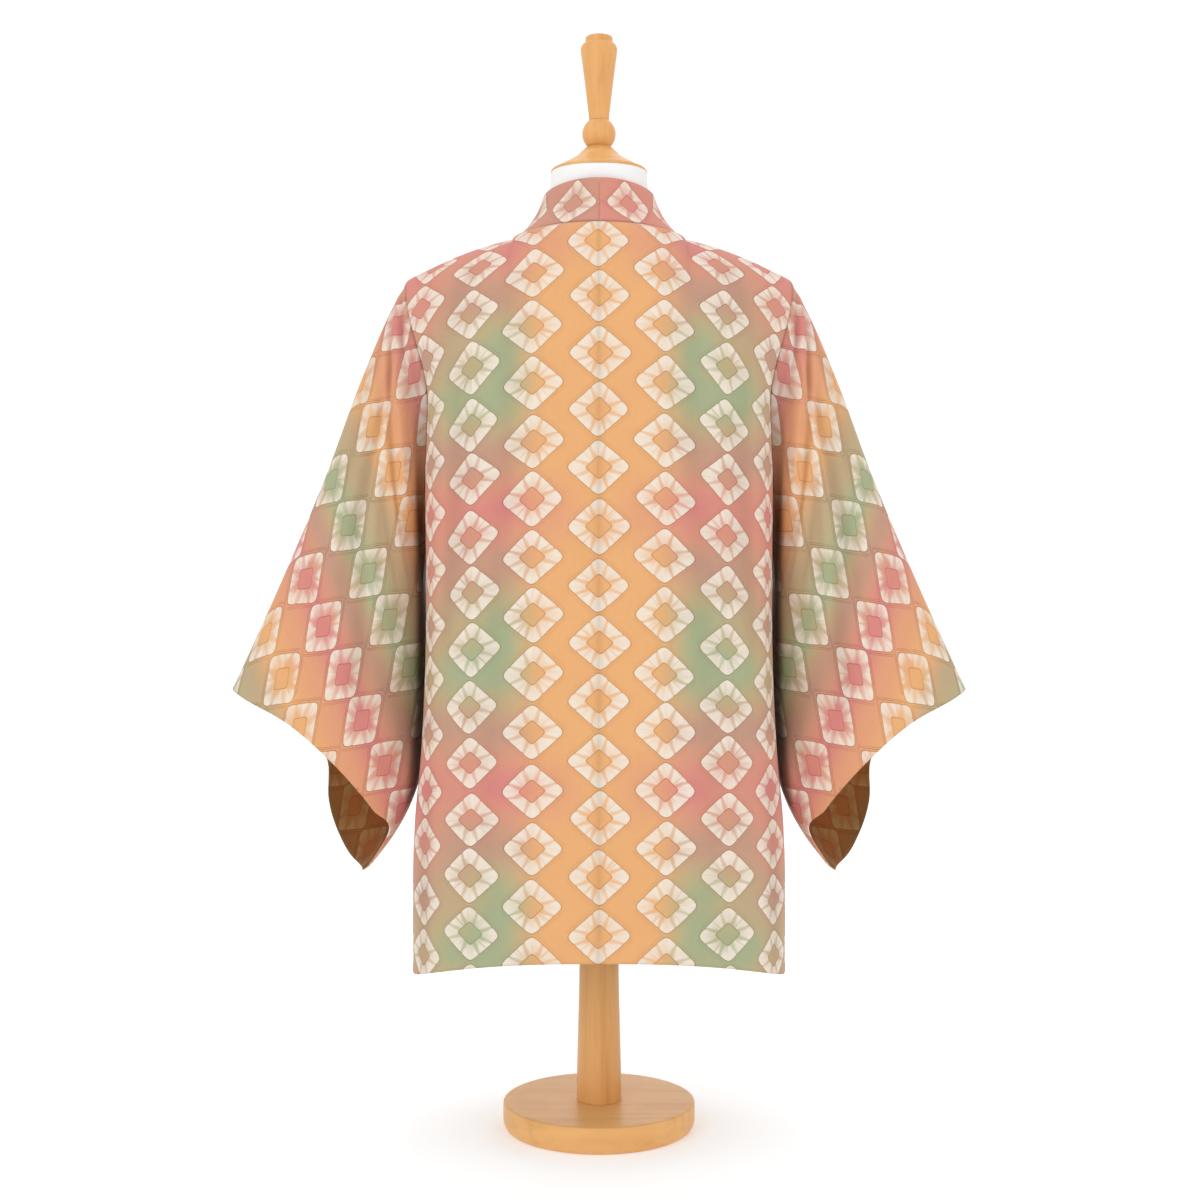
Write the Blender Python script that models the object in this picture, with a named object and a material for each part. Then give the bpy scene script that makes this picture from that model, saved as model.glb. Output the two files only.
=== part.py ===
"""Haori jacket on a limbless dress form.

Frame: metres, +Z up, origin at the centre of the stand's underside.  The back of the
jacket faces -Y and its open front faces +Y.  Every cloth piece is a thin wall made from
a smooth surface: a grid of points across and along the cloth, with a second grid one
wall thickness inside it.
"""
import bmesh
import bpy
import numpy as np

CM = 0.01                       # the sizes below are centimetres

# Driving sizes
CLOTH_WALL = 0.2
COLLAR_WALL = 0.3
SEAM_GAP = 0.03
SECTION_POWER = 2.6             # squareness of the body's horizontal sections
SHOULDER_POWER = 2.4            # roundness of the cloth as it turns over the shoulder
SHOULDER_DROP = 12.0            # height over which the cloth turns over the shoulder
SHOULDER_EASE = 14.0            # height over which its width settles below the shoulder
NECK_POINT = (9.0, 0.0, 93.6)   # where neckline and shoulder meet
SHOULDER_POINT = (20.2, 0.0, 89.5)
SHOULDER_CROWN = 0.25           # how far the shoulder line bows up between the two
NECK_BACK = (8.5, 94.0)         # radius and height of the neckline at the centre back
ARMPIT_HEIGHT = 66.0
HEM_SIDE = 16.9
HEM_BACK = 19.7
HEM_FRONT = 18.2
COLLAR_TOP = (5.9, 99.1)        # radius and height of the collar's free edge at the centre back
NECKLINE_SHARE = 0.36           # share of the back panel's width that ends at the neckline
COLLAR_HOLLOW = 0.45            # how far the collar curves inwards between seam and fold at the neck
COLLAR_FLAT = 84.0              # seam height below which the collar is straight again


def table(columns, rows):
    """A table as a dictionary from column name to an array of that column's values."""
    values = np.array(rows, dtype=float)
    return {name: values[:, k] for k, name in enumerate(columns.split())}


# Horizontal sections of the jacket's body.
BODY = table("height half_width back_depth front_depth", [
    (16.0, 19.6, 12.4, 12.6),
    (33.0, 19.35, 12.1, 12.4),
    (39.0, 18.8, 12.0, 12.2),
    (46.0, 18.4, 11.9, 12.1),
    (66.0, 18.3, 11.7, 12.0),
    (77.0, 18.5, 11.5, 11.8),
    (85.0, 19.2, 10.9, 11.0),
    (90.0, 20.0, 10.2, 9.6),
    (95.0, 20.2, 9.6, 8.4),
])

# The panels' outer edge: half of the gusset's width up to the armpit, then half of the
# armhole's opening.
SIDE_EDGE = table("height half_opening", [
    (16.0, 3.6),
    (40.0, 2.5),
    (66.0, 1.3),
    (70.0, 3.0),
    (78.0, 5.1),
    (84.0, 5.4),
    (95.0, 5.4),
])

# The front panels' inner edge, where the collar is joined.
FRONT_EDGE = table("height reach", [
    (16.0, 7.2),
    (70.0, 7.0),
    (80.0, 7.1),
    (88.5, 7.7),
    (92.0, 8.6),
    (93.6, 9.0),
])

# The front collar's free edge, by the height of its seam with the panel.
COLLAR_FRONT = table("seam_height across depth rise", [
    (16.0, 2.3, 12.9, 0.0),
    (50.0, 2.3, 12.6, 0.0),
    (76.6, 2.4, 12.3, 0.8),
    (83.9, 3.0, 10.9, 2.4),
    (89.0, 4.2, 7.9, 3.3),
    (92.2, 5.4, 4.1, 4.1),
    (93.6, 5.85, 0.0, 4.8),
])

# The sleeve's fold on top, its lower fold beside the body, and its depth front to back.
SLEEVE = table("share top_x top_y top_z low_x low_y low_z half_depth", [
    (0.00, 20.2, 0.0, 89.5, 18.5, 0.0, 66.0, 5.2),
    (0.10, 22.3, 0.0, 85.6, 18.95, 2.6, 60.5, 5.2),
    (0.25, 24.9, 0.0, 79.6, 18.65, 3.6, 54.0, 5.3),
    (0.50, 29.2, 0.2, 68.2, 18.6, 3.9, 45.0, 5.6),
    (0.75, 34.0, 0.7, 57.1, 19.85, 3.7, 35.3, 6.1),
    (0.90, 37.3, 1.0, 49.9, 22.4, 3.3, 30.2, 6.5),
    (1.00, 39.0, 1.2, 46.3, 25.0, 3.0, 26.8, 6.8),
])

# How far each layer's cuff edge lies inside the straight line between the two folds.
CUFF = table("share back_dip front_dip", [
    (0.00, 0.0, 0.0),
    (0.08, 1.0, 0.5),
    (0.25, 3.2, 1.6),
    (0.50, 4.8, 2.2),
    (0.65, 5.2, -0.2),
    (0.80, 5.2, -1.3),
    (0.93, 4.6, -1.3),
    (1.00, 0.4, -0.6),
])
CUFF_REACH = 0.45               # share of the sleeve's length that the dips fade over
ARMHOLE_REACH = 0.22            # share of its length over which it leaves the armhole

# The dress form's covered body, from its flat bottom to the top of its neck.
FORM = table("height half_width half_depth centre", [
    (30.0, 14.8, 9.2, 0.0),
    (32.0, 15.5, 9.7, 0.0),
    (36.0, 15.8, 9.9, 0.0),
    (44.0, 14.8, 9.4, 0.0),
    (54.0, 12.6, 8.5, 0.0),
    (64.0, 13.5, 9.2, 0.1),
    (72.0, 14.9, 10.4, 0.2),
    (79.0, 15.8, 10.4, 0.1),
    (84.0, 16.9, 9.4, -0.2),
    (87.5, 17.9, 8.0, -0.4),
    (88.9, 17.6, 6.6, -0.3),
    (90.0, 16.2, 5.6, -0.2),
    (91.1, 13.0, 5.1, 0.0),
    (92.1, 10.0, 5.1, 0.0),
    (93.4, 7.5, 5.3, 0.0),
    (95.2, 6.0, 5.4, 0.0),
    (98.0, 5.3, 5.2, 0.0),
    (100.8, 5.1, 5.1, 0.0),
])
FORM_POWER = 2.2

# Turned wooden pieces: outline from the lower end to the upper end.
BASE_OUTLINE = [(9.6, 0.0), (9.95, 0.25), (10.14, 0.9), (10.14, 2.35), (9.85, 2.8)]
POLE_OUTLINE = [(2.36, 2.83), (2.3, 6.0), (2.1, 15.4), (2.0, 29.97)]
CAP_OUTLINE = [(4.95, 100.83), (5.12, 101.0), (4.95, 101.3), (3.67, 101.95), (2.4, 102.7), (1.42, 103.65)]
HANDLE_OUTLINE = [(0.95, 106.53), (1.12, 107.3), (1.32, 109.0), (1.58, 111.1), (1.85, 113.2),
                  (1.95, 114.0), (1.85, 114.5), (1.45, 114.75), (1.4, 115.2), (1.2, 115.4)]
BALL_RADIUS = 1.78
BALL_HEIGHT = 105.1
BALL_LOWEST = 103.68
BALL_HIGHEST = 106.5
TURNED_SIDES = 40

# Grid counts
ROWS_ROUND = 7                  # rows from the shoulder line to full depth
ROWS_TO_ARMPIT = 3              # rows from there to the armpit
ROWS_TO_HEM = 10                # rows from there to the hem
COLUMNS_NECK = 6
COLUMNS_SHOULDER = 8
COLUMNS_GUSSET = 2
SLEEVE_RINGS = 15
COLLAR_COLUMNS = 3
FORM_SIDES = 40

# Name: colour, roughness
FINISHES = {
    "patterned_cloth": ((0.80, 0.52, 0.40, 1.0), 0.75),
    "form_cover": ((0.86, 0.86, 0.85, 1.0), 0.85),
    "light_wood": ((0.66, 0.40, 0.20, 1.0), 0.40),
}


def along(rows, column, at):
    """One column of a table read at any key, by cubic pieces whose slopes are averaged."""
    names = list(rows)
    key, value = rows[names[0]], rows[column]
    slope = np.gradient(value, key)
    at = np.clip(at, key[0], key[-1])
    low = np.clip(np.searchsorted(key, at) - 1, 0, len(key) - 2)
    span = key[low + 1] - key[low]
    t = (at - key[low]) / span
    return ((1 + 2 * t) * (1 - t) ** 2 * value[low] + t * (1 - t) ** 2 * span * slope[low]
            + t * t * (3 - 2 * t) * value[low + 1] + t * t * (t - 1) * span * slope[low + 1])


def ease(t):
    """Smooth step from 0 to 1."""
    t = np.clip(t, 0.0, 1.0)
    return t * t * (3 - 2 * t)


# ---------------------------------------------------------------- surface of the body

def section_point(height, start, end, share, depth_column):
    """Point of the body's horizontal section, by angle from the start to the end one.

    The section is x = a sin^(2/n), y = d cos^(2/n); start and end are angles."""
    half_width = along(BODY, "half_width", height)
    depth = along(BODY, depth_column, height)
    angle = start + (end - start) * share
    x = half_width * np.sin(angle) ** (2 / SECTION_POWER)
    y = depth * np.cos(angle) ** (2 / SECTION_POWER)
    return x, y


def edge_angle(height, depth_column):
    """Angle at which the section reaches the panel's outer edge."""
    depth = along(BODY, depth_column, height)
    opening = along(SIDE_EDGE, "half_opening", height)
    return np.arccos(np.clip(opening / depth, 0, 1) ** (SECTION_POWER / 2))


def front_angle(height):
    """Angle at which the front section reaches the collar's seam."""
    half_width = along(BODY, "half_width", height)
    reach = along(FRONT_EDGE, "reach", height)
    return np.arcsin(np.clip(reach / half_width, 0, 1) ** (SECTION_POWER / 2))


def shoulder_line(across):
    """Top of the panel: the neckline behind, then the shoulder out to the armhole.

    across runs from 0 at the centre back to 1 at the armhole."""
    turn = np.clip(across / NECKLINE_SHARE, 0, 1) * np.pi / 2
    out = np.clip((across - NECKLINE_SHARE) / (1 - NECKLINE_SHARE), 0, 1)
    on_neck = across <= NECKLINE_SHARE
    x_neck = NECK_POINT[0] * np.sin(turn)
    y_neck = -NECK_BACK[0] * np.cos(turn)
    z_neck = NECK_BACK[1] + (NECK_POINT[2] - NECK_BACK[1]) * np.sin(turn) ** 2
    x_out = NECK_POINT[0] + (SHOULDER_POINT[0] - NECK_POINT[0]) * out
    z_out = (NECK_POINT[2] + (SHOULDER_POINT[2] - NECK_POINT[2]) * out ** 1.15
             + SHOULDER_CROWN * np.sin(np.pi * out))
    return (np.where(on_neck, x_neck, x_out), np.where(on_neck, y_neck, 0.0),
            np.where(on_neck, z_neck, z_out))


def body_surface(across, drop, side):
    """Points of the body panel at a drop below its top; side is -1 behind and 1 in front.

    The cloth leaves its top level and reaches the section's depth as a rounded corner,
    1 - (1 - t)^p to the power 1/p, while its width eases from the top's to the section's."""
    top_x, top_y, top_z = shoulder_line(across)
    height = top_z - drop
    column = "back_depth" if side < 0 else "front_depth"
    end = edge_angle(height, column)
    if side < 0:
        x, y = section_point(height, 0.0, end, across, column)
    else:
        share = np.clip((across - NECKLINE_SHARE) / (1 - NECKLINE_SHARE), 0, 1)
        x, y = section_point(height, front_angle(height), end, share, column)
    turn = np.clip(drop / SHOULDER_DROP, 0, 1)
    turned = (1 - (1 - turn) ** SHOULDER_POWER) ** (1 / SHOULDER_POWER)
    eased = ease(drop / SHOULDER_EASE)
    x = top_x + (x - top_x) * eased
    y = top_y + (side * y - top_y) * turned
    return np.stack([x, y, height], axis=-1)


def hem_height(across, side):
    """Height of the hem: highest at the centre, lowest at the side."""
    middle = HEM_BACK if side < 0 else HEM_FRONT
    return HEM_SIDE + (middle - HEM_SIDE) * np.cos(np.clip(across, 0, 1) * np.pi / 2) ** 1.3


def drops(across, side):
    """Drops of the panel's rows: close together over the shoulder, one at the armpit."""
    length = shoulder_line(across)[2] - hem_height(across, side)
    over = SHOULDER_DROP * (1 - np.cos(np.linspace(0, np.pi / 2, ROWS_ROUND + 1)))
    to_hem = SHOULDER_POINT[2] - HEM_SIDE - SHOULDER_DROP
    armpit = (SHOULDER_POINT[2] - ARMPIT_HEIGHT - SHOULDER_DROP) / to_hem
    down = np.concatenate([np.linspace(0, armpit, ROWS_TO_ARMPIT + 1)[1:],
                           np.linspace(armpit, 1, ROWS_TO_HEM + 1)[1:]])[:, None]
    return np.concatenate([np.repeat(over[:, None], len(across), 1),
                           SHOULDER_DROP + down * (length - SHOULDER_DROP)])


def panel_edge(side):
    """Points of the armhole on one panel's edge, from the shoulder down to the armpit."""
    drop = drops(np.array([1.0]), side)[:ROWS_ROUND + ROWS_TO_ARMPIT + 1, 0]
    return body_surface(np.ones_like(drop), drop, side)


def armhole():
    """The armhole's edge: down the back panel, over the gusset's top and up the front."""
    back, front = panel_edge(-1), panel_edge(1)
    middle = np.array([[along(BODY, "half_width", ARMPIT_HEIGHT), 0.0, ARMPIT_HEIGHT]])
    return np.concatenate([back, middle, front[:0:-1]])


# ---------------------------------------------------------------- meshes

def wall(name, grid, thickness, finish, cells=None, ring=False, normals=None):
    """A closed wall from a grid of surface points, with a second layer one thickness inside.

    cells tells which grid squares exist; a ring joins its last column to its first."""
    rows, columns = grid.shape[:2]
    last = columns if ring else columns - 1
    if cells is None:
        cells = np.ones((rows - 1, last), bool)
    index = np.arange(rows * columns).reshape(rows, columns)
    squares = [(index[r, c], index[r, (c + 1) % columns], index[r + 1, (c + 1) % columns], index[r + 1, c])
               for r, c in zip(*np.nonzero(cells))]
    points = grid.reshape(-1, 3)
    corners = points[np.array(squares)]
    facing = np.cross(corners[:, 2] - corners[:, 0], corners[:, 3] - corners[:, 1])
    normal = np.zeros_like(points)
    for k in range(4):
        np.add.at(normal, np.array(squares)[:, k], facing)
    if normals is not None:
        given = normals.reshape(-1, 3)
        chosen = np.abs(given).sum(axis=1) > 0
        normal[chosen] = given[chosen]
    normal /= np.maximum(np.linalg.norm(normal, axis=1, keepdims=True), 1e-9)
    inner = points - normal * thickness
    faces = [tuple(s) for s in squares] + [tuple(len(points) + i for i in reversed(s)) for s in squares]
    edges = {(a, b) for s in squares for a, b in zip(s, s[1:] + s[:1])}
    for a, b in sorted(edges):
        if (b, a) not in edges:
            faces.append((b, a, len(points) + a, len(points) + b))
    return solid(name, np.concatenate([points, inner]), faces, finish)


def solid(name, points, faces, finish):
    """An object from points in centimetres and faces, without loose points."""
    mesh = bpy.data.meshes.new(name)
    mesh.from_pydata((points * CM).tolist(), [], [tuple(int(i) for i in f) for f in faces])
    body = bmesh.new()
    body.from_mesh(mesh)
    bmesh.ops.delete(body, geom=[v for v in body.verts if not v.link_faces], context="VERTS")
    bmesh.ops.triangulate(body, faces=body.faces)
    body.to_mesh(mesh)
    body.free()
    mesh.shade_smooth()
    mesh.set_sharp_from_angle(angle=np.radians(50))
    mesh.materials.append(finish_of(finish))
    piece = bpy.data.objects.new(name, mesh)
    bpy.context.scene.collection.objects.link(piece)
    return piece


def finish_of(name):
    """The named material, made once."""
    material = bpy.data.materials.get(name)
    if material is None:
        colour, roughness = FINISHES[name]
        material = bpy.data.materials.new(name)
        material.use_nodes = True
        shader = material.node_tree.nodes["Principled BSDF"]
        shader.inputs["Base Color"].default_value = colour
        shader.inputs["Roughness"].default_value = roughness
        shader.inputs["Metallic"].default_value = 0.0
    return material


def mirrored(grid, hand):
    """The grid on the named hand: right is +X, and left is its mirror image."""
    return grid * np.array([hand, 1.0, 1.0])


def turned(name, outline, finish):
    """A solid of revolution about the stand's axis from its outline of radius and height."""
    angle = np.linspace(0, 2 * np.pi, TURNED_SIDES, endpoint=False)
    rings = [np.stack([r * np.cos(angle), r * np.sin(angle), np.full_like(angle, z)], axis=-1)
             for r, z in outline]
    return stacked(name, np.stack(rings), finish)


def stacked(name, rings, finish):
    """A closed solid from rings of points, one above the other, with flat ends."""
    count, sides = rings.shape[:2]
    index = np.arange(count * sides).reshape(count, sides)
    faces = [tuple(index[0, ::-1]), tuple(index[-1])]
    for r in range(count - 1):
        for c in range(sides):
            d = (c + 1) % sides
            faces.append((index[r, c], index[r, d], index[r + 1, d], index[r + 1, c]))
    return solid(name, rings.reshape(-1, 3), faces, finish)


# ---------------------------------------------------------------- pieces

def section_normal(points):
    """Outward direction of the body's section at each point."""
    x, y, z = points[..., 0], points[..., 1], points[..., 2]
    half_width = along(BODY, "half_width", z)
    depth = np.where(y < 0, along(BODY, "back_depth", z), along(BODY, "front_depth", z))
    power = SECTION_POWER - 1
    normal = np.stack([np.abs(x / half_width) ** power / half_width,
                       np.sign(y) * np.abs(y / depth) ** power / depth, np.zeros_like(z)], axis=-1)
    return normal / np.linalg.norm(normal, axis=-1, keepdims=True)


def body_panel(name, hand):
    """One body panel, in one piece from the back hem over the shoulder to the front hem."""
    neck = np.linspace(0, NECKLINE_SHARE, COLUMNS_NECK + 1)[:-1]
    out = np.linspace(NECKLINE_SHARE, 1, COLUMNS_SHOULDER + 1)
    across = np.concatenate([neck, out])
    rows = {}
    for side in (-1, 1):
        drop = drops(across, side)
        spread = np.repeat(across[None], len(drop), 0)
        rows[side] = body_surface(spread, drop, side)
        if side < 0:
            rows[side][:, 0, 0] = SEAM_GAP / 2
    grid = np.concatenate([rows[-1][::-1], rows[1][1:]])
    back_rows = len(rows[-1])
    cells = np.ones((len(grid) - 1, len(across) - 1), bool)
    cells[back_rows - 1:, :COLUMNS_NECK] = False
    normals = np.zeros_like(grid)
    below = grid[:, -1, 2] < ARMPIT_HEIGHT + 0.5
    normals[below, -1] = section_normal(grid[below, -1])
    step = np.zeros_like(grid[:back_rows, 0])
    step[1:-1] = grid[2:back_rows, 0] - grid[:back_rows - 2, 0]
    step[0], step[-1] = step[1], step[-2]
    normals[:back_rows, 0] = np.stack([np.zeros(back_rows), -step[:, 2], step[:, 1]], axis=-1)
    return wall_on_hand(name, grid, CLOTH_WALL, hand, cells=cells, normals=normals)


def wall_on_hand(name, grid, thickness, hand, cells=None, ring=False, normals=None):
    """A cloth wall on the right hand, or its mirror image on the left."""
    columns = slice(None) if hand > 0 else slice(None, None, -1)
    grid = mirrored(grid, hand)[:, columns]
    normals = None if normals is None else mirrored(normals, hand)[:, columns]
    cells = None if cells is None else cells[:, columns]
    return wall(name, grid, thickness, "patterned_cloth", cells=cells, ring=ring, normals=normals)


def gusset(name, hand):
    """The side gusset: a wedge between the back and front panels, up to the armpit."""
    below = drops(np.array([1.0]), -1)[-ROWS_TO_HEM - 1:, 0]
    height = (SHOULDER_POINT[2] - below)[::-1]
    share = np.linspace(-1, 1, COLUMNS_GUSSET + 1)
    opening = along(SIDE_EDGE, "half_opening", height) - SEAM_GAP
    y = opening[:, None] * share
    depth = np.where(y < 0, along(BODY, "back_depth", height)[:, None],
                     along(BODY, "front_depth", height)[:, None])
    half_width = along(BODY, "half_width", height)[:, None]
    x = half_width * (1 - np.abs(y / depth) ** SECTION_POWER) ** (1 / SECTION_POWER)
    grid = np.stack([x, y, np.repeat(height[:, None], len(share), 1)], axis=-1)
    return wall_on_hand(name, grid, CLOTH_WALL, hand, normals=section_normal(grid))


def sleeve_surface(share, turn):
    """Points of the sleeve: share runs from armhole to cuff, turn once round its section.

    The section is a flat ring: (1 - cos)/2 of the way from the top fold to the lower fold,
    with its depth as the sine; near the armhole it becomes the armhole's own edge, and near
    the cuff each layer's edge dips inside the straight line between the folds."""
    way = (1 - np.cos(turn)) / 2
    side = np.where(np.sin(turn) >= 0, -1.0, 1.0)
    top_x, top_y, top_z = (along(SLEEVE, "top_" + axis, share) for axis in "xyz")
    low_x, low_y, low_z = (along(SLEEVE, "low_" + axis, share) for axis in "xyz")
    length = np.hypot(low_x - top_x, low_z - top_z)
    into_x, into_z = (low_z - top_z) / length, -(low_x - top_x) / length
    dip = np.where(side < 0, along(CUFF, "back_dip", way), along(CUFF, "front_dip", way))
    dip = dip * ease((share - 1 + CUFF_REACH) / CUFF_REACH)
    depth = along(SLEEVE, "half_depth", share) * np.abs(np.sin(turn)) ** 0.9
    x = top_x + (low_x - top_x) * way + into_x * dip
    y = top_y + (low_y - top_y) * way + side * depth
    z = top_z + (low_z - top_z) * way + into_z * dip
    return np.stack([x, y, z], axis=-1)


def sleeve(name, hand):
    """One sleeve: a flat hollow tube from the armhole to the open cuff."""
    edge = armhole() + np.array([SEAM_GAP + 0.01, 0.0, 0.0])
    turn = np.linspace(0, 2 * np.pi, len(edge), endpoint=False)
    share = np.linspace(0, 1, SLEEVE_RINGS) ** 1.1
    grid = sleeve_surface(share[:, None], turn[None])
    away = (1 - ease(share / ARMHOLE_REACH))[:, None, None]
    grid = grid + (edge - grid[0])[None] * away
    normals = np.zeros_like(grid)
    normals[0] = np.stack([np.zeros_like(turn), -np.sin(turn), np.cos(turn)], axis=-1)
    return wall_on_hand(name, grid, CLOTH_WALL, hand, ring=True, normals=normals)


def collar(name, hand):
    """Half of the collar: a folded band round the neck and down the front edge to the hem."""
    neck = np.linspace(0, NECKLINE_SHARE, COLUMNS_NECK + 1)
    edge = np.array([NECKLINE_SHARE])
    seam_front = body_surface(edge[None], drops(edge, 1), 1)[1:, 0]
    seam = np.concatenate([np.stack(shoulder_line(neck), axis=-1), seam_front])
    quarter = neck / NECKLINE_SHARE * np.pi / 2
    sides = along(COLLAR_FRONT, "across", NECK_POINT[2])
    top = NECK_POINT[2] + along(COLLAR_FRONT, "rise", NECK_POINT[2])
    free_back = np.stack([sides * np.sin(quarter), -COLLAR_TOP[0] * np.cos(quarter),
                          COLLAR_TOP[1] + (top - COLLAR_TOP[1]) * np.sin(quarter) ** 2], axis=-1)
    height = seam_front[:, 2]
    free_front = np.stack([along(COLLAR_FRONT, "across", height), along(COLLAR_FRONT, "depth", height),
                           height + along(COLLAR_FRONT, "rise", height)], axis=-1)
    free = np.concatenate([free_back, free_front])
    across = free - seam
    width = np.linalg.norm(across, axis=-1, keepdims=True)
    seam = seam + across / width * (SEAM_GAP + 0.01)
    step = np.linspace(0, 1, COLLAR_COLUMNS + 1)[:, None, None]
    grid = seam[None] + (free - seam)[None] * step
    inward = np.cross(across, np.gradient(seam, axis=0))
    inward /= np.linalg.norm(inward, axis=-1, keepdims=True)
    hollow = COLLAR_HOLLOW * ease((seam[:, 2] - COLLAR_FLAT) / (NECK_POINT[2] - COLLAR_FLAT))
    grid += inward * hollow[:, None] * np.sin(np.pi * step)
    grid[:, 0, 0] = SEAM_GAP / 2
    normals = np.zeros_like(grid)
    lean = free[0] - seam[0]
    normals[:, 0] = (0.0, -lean[2], lean[1])
    return wall_on_hand(name, grid, COLLAR_WALL, hand, normals=normals)


def form_body():
    """The covered torso and neck: rounded sections, whole and smooth."""
    angle = np.linspace(0, 2 * np.pi, FORM_SIDES, endpoint=False)
    rings = []
    for height, half_width, half_depth, centre in zip(*(FORM[c] for c in FORM)):
        cosine, sine = np.cos(angle), np.sin(angle)
        x = half_width * np.sign(cosine) * np.abs(cosine) ** (2 / FORM_POWER)
        y = centre + half_depth * np.sign(sine) * np.abs(sine) ** (2 / FORM_POWER)
        rings.append(np.stack([x, y, np.full_like(angle, height)], axis=-1))
    return stacked("dress_form", np.stack(rings), "form_cover")


def ball_outline():
    """Outline of the ball between its flat lower and upper ends."""
    low = np.arcsin((BALL_LOWEST - BALL_HEIGHT) / BALL_RADIUS)
    high = np.arcsin((BALL_HIGHEST - BALL_HEIGHT) / BALL_RADIUS)
    tilt = np.linspace(low, high, 11)
    return list(zip(BALL_RADIUS * np.cos(tilt), BALL_HEIGHT + BALL_RADIUS * np.sin(tilt)))


def main():
    for old in list(bpy.data.objects):
        bpy.data.objects.remove(old, do_unlink=True)
    for word, hand in (("left", -1), ("right", 1)):
        body_panel("body_" + word, hand)
        gusset("gusset_" + word, hand)
        sleeve("sleeve_" + word, hand)
        collar("collar_" + word, hand)
    form_body()
    turned("stand_base", BASE_OUTLINE, "light_wood")
    turned("stand_pole", POLE_OUTLINE, "light_wood")
    turned("neck_cap", CAP_OUTLINE, "light_wood")
    turned("finial_ball", ball_outline(), "light_wood")
    turned("finial_handle", HANDLE_OUTLINE, "light_wood")


main()
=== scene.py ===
import math

import bpy
import numpy as np
from bpy.props import FloatProperty, FloatVectorProperty, PointerProperty
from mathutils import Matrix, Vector


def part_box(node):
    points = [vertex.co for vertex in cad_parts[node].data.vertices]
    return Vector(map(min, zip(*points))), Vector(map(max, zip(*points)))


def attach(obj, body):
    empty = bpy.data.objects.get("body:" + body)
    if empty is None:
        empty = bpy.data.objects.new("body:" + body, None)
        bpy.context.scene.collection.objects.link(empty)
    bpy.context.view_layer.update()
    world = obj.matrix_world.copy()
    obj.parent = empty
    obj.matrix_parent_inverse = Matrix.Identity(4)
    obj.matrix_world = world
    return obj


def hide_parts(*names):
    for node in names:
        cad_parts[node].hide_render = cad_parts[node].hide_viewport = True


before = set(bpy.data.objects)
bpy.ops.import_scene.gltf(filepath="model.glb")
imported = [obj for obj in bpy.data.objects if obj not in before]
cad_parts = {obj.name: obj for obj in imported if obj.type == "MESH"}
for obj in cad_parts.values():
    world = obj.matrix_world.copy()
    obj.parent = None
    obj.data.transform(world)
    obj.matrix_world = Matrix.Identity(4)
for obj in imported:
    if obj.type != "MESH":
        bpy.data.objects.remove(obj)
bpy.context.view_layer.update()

bl_info = {
    "name": "Haori Jacket on a Dress Form",
    "version": (1, 0, 0),
    "blender": (4, 5, 0),
    "location": "View3D > Sidebar > Haori",
    "description": "Builds a ring-dyed haori jacket on a limbless dress form with a turned wood stand",
    "category": "Add Mesh",
}

CM = 0.01                        # the sizes in the tables are centimetres


def table(columns, rows):
    """A table as a dictionary from column name to an array of that column's values."""
    values = np.array(rows, dtype=float)
    return {name: values[:, k] for k, name in enumerate(columns.split())}


# ---------------------------------------------------------------- sizes that follow the frame

def top_of(node):
    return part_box(node)[1][2] / CM


def low_of(node):
    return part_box(node)[0][2] / CM


SECTION_POWER = 2.6              # squareness of the body's horizontal sections
SHOULDER_POWER = 2.4             # roundness of the cloth as it turns over the shoulder
SHOULDER_DROP = 12.0             # height over which the cloth turns over the shoulder
SHOULDER_EASE = 14.0             # height over which its width settles below the shoulder
NECKLINE_SHARE = 0.36            # share of the back panel's width that ends at the neckline
NECK_POINT = (9.0, 0.0, 93.6)    # where neckline and shoulder meet
SHOULDER_POINT = (20.2, 0.0, 89.5)
SHOULDER_CROWN = 0.25            # how far the shoulder line bows up between the two
NECK_BACK = (8.5, 94.0)          # radius and height of the neckline at the centre back
COLLAR_TOP = (5.9, top_of("collar_right"))
COLLAR_HOLLOW = 0.45             # how far the collar curves inwards between seam and fold at the neck
COLLAR_FLAT = 84.0               # seam height below which the collar is straight again
ARMPIT_HEIGHT = top_of("gusset_right")
HEM_SIDE = low_of("gusset_right")
HEM_BACK = 19.7
HEM_FRONT = 18.2
COLUMNS_OF_EDGE = 22             # places round the armhole that its edge is spaced by
EDGE_DROPS_ROUND = 7             # of these, the ones over the shoulder on each side
EDGE_DROPS_DOWN = 3              # and the ones from there to the armpit

BODY = table("height half_width back_depth front_depth", [
    (16.0, 19.6, 12.4, 12.6),
    (33.0, 19.35, 12.1, 12.4),
    (39.0, 18.8, 12.0, 12.2),
    (46.0, 18.4, 11.9, 12.1),
    (66.0, 18.3, 11.7, 12.0),
    (77.0, 18.5, 11.5, 11.8),
    (85.0, 19.2, 10.9, 11.0),
    (90.0, 20.0, 10.2, 9.6),
    (95.0, 20.2, 9.6, 8.4),
])
SIDE_EDGE = table("height half_opening", [
    (16.0, 3.6),
    (40.0, 2.5),
    (66.0, 1.3),
    (70.0, 3.0),
    (78.0, 5.1),
    (84.0, 5.4),
    (95.0, 5.4),
])
FRONT_EDGE = table("height reach", [
    (16.0, 7.2),
    (70.0, 7.0),
    (80.0, 7.1),
    (88.5, 7.7),
    (92.0, 8.6),
    (93.6, 9.0),
])
COLLAR_FRONT = table("seam_height across depth rise", [
    (16.0, 2.3, 12.9, 0.0),
    (50.0, 2.3, 12.6, 0.0),
    (76.6, 2.4, 12.3, 0.8),
    (83.9, 3.0, 10.9, 2.4),
    (89.0, 4.2, 7.9, 3.3),
    (92.2, 5.4, 4.1, 4.1),
    (93.6, 5.85, 0.0, 4.8),
])
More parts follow.
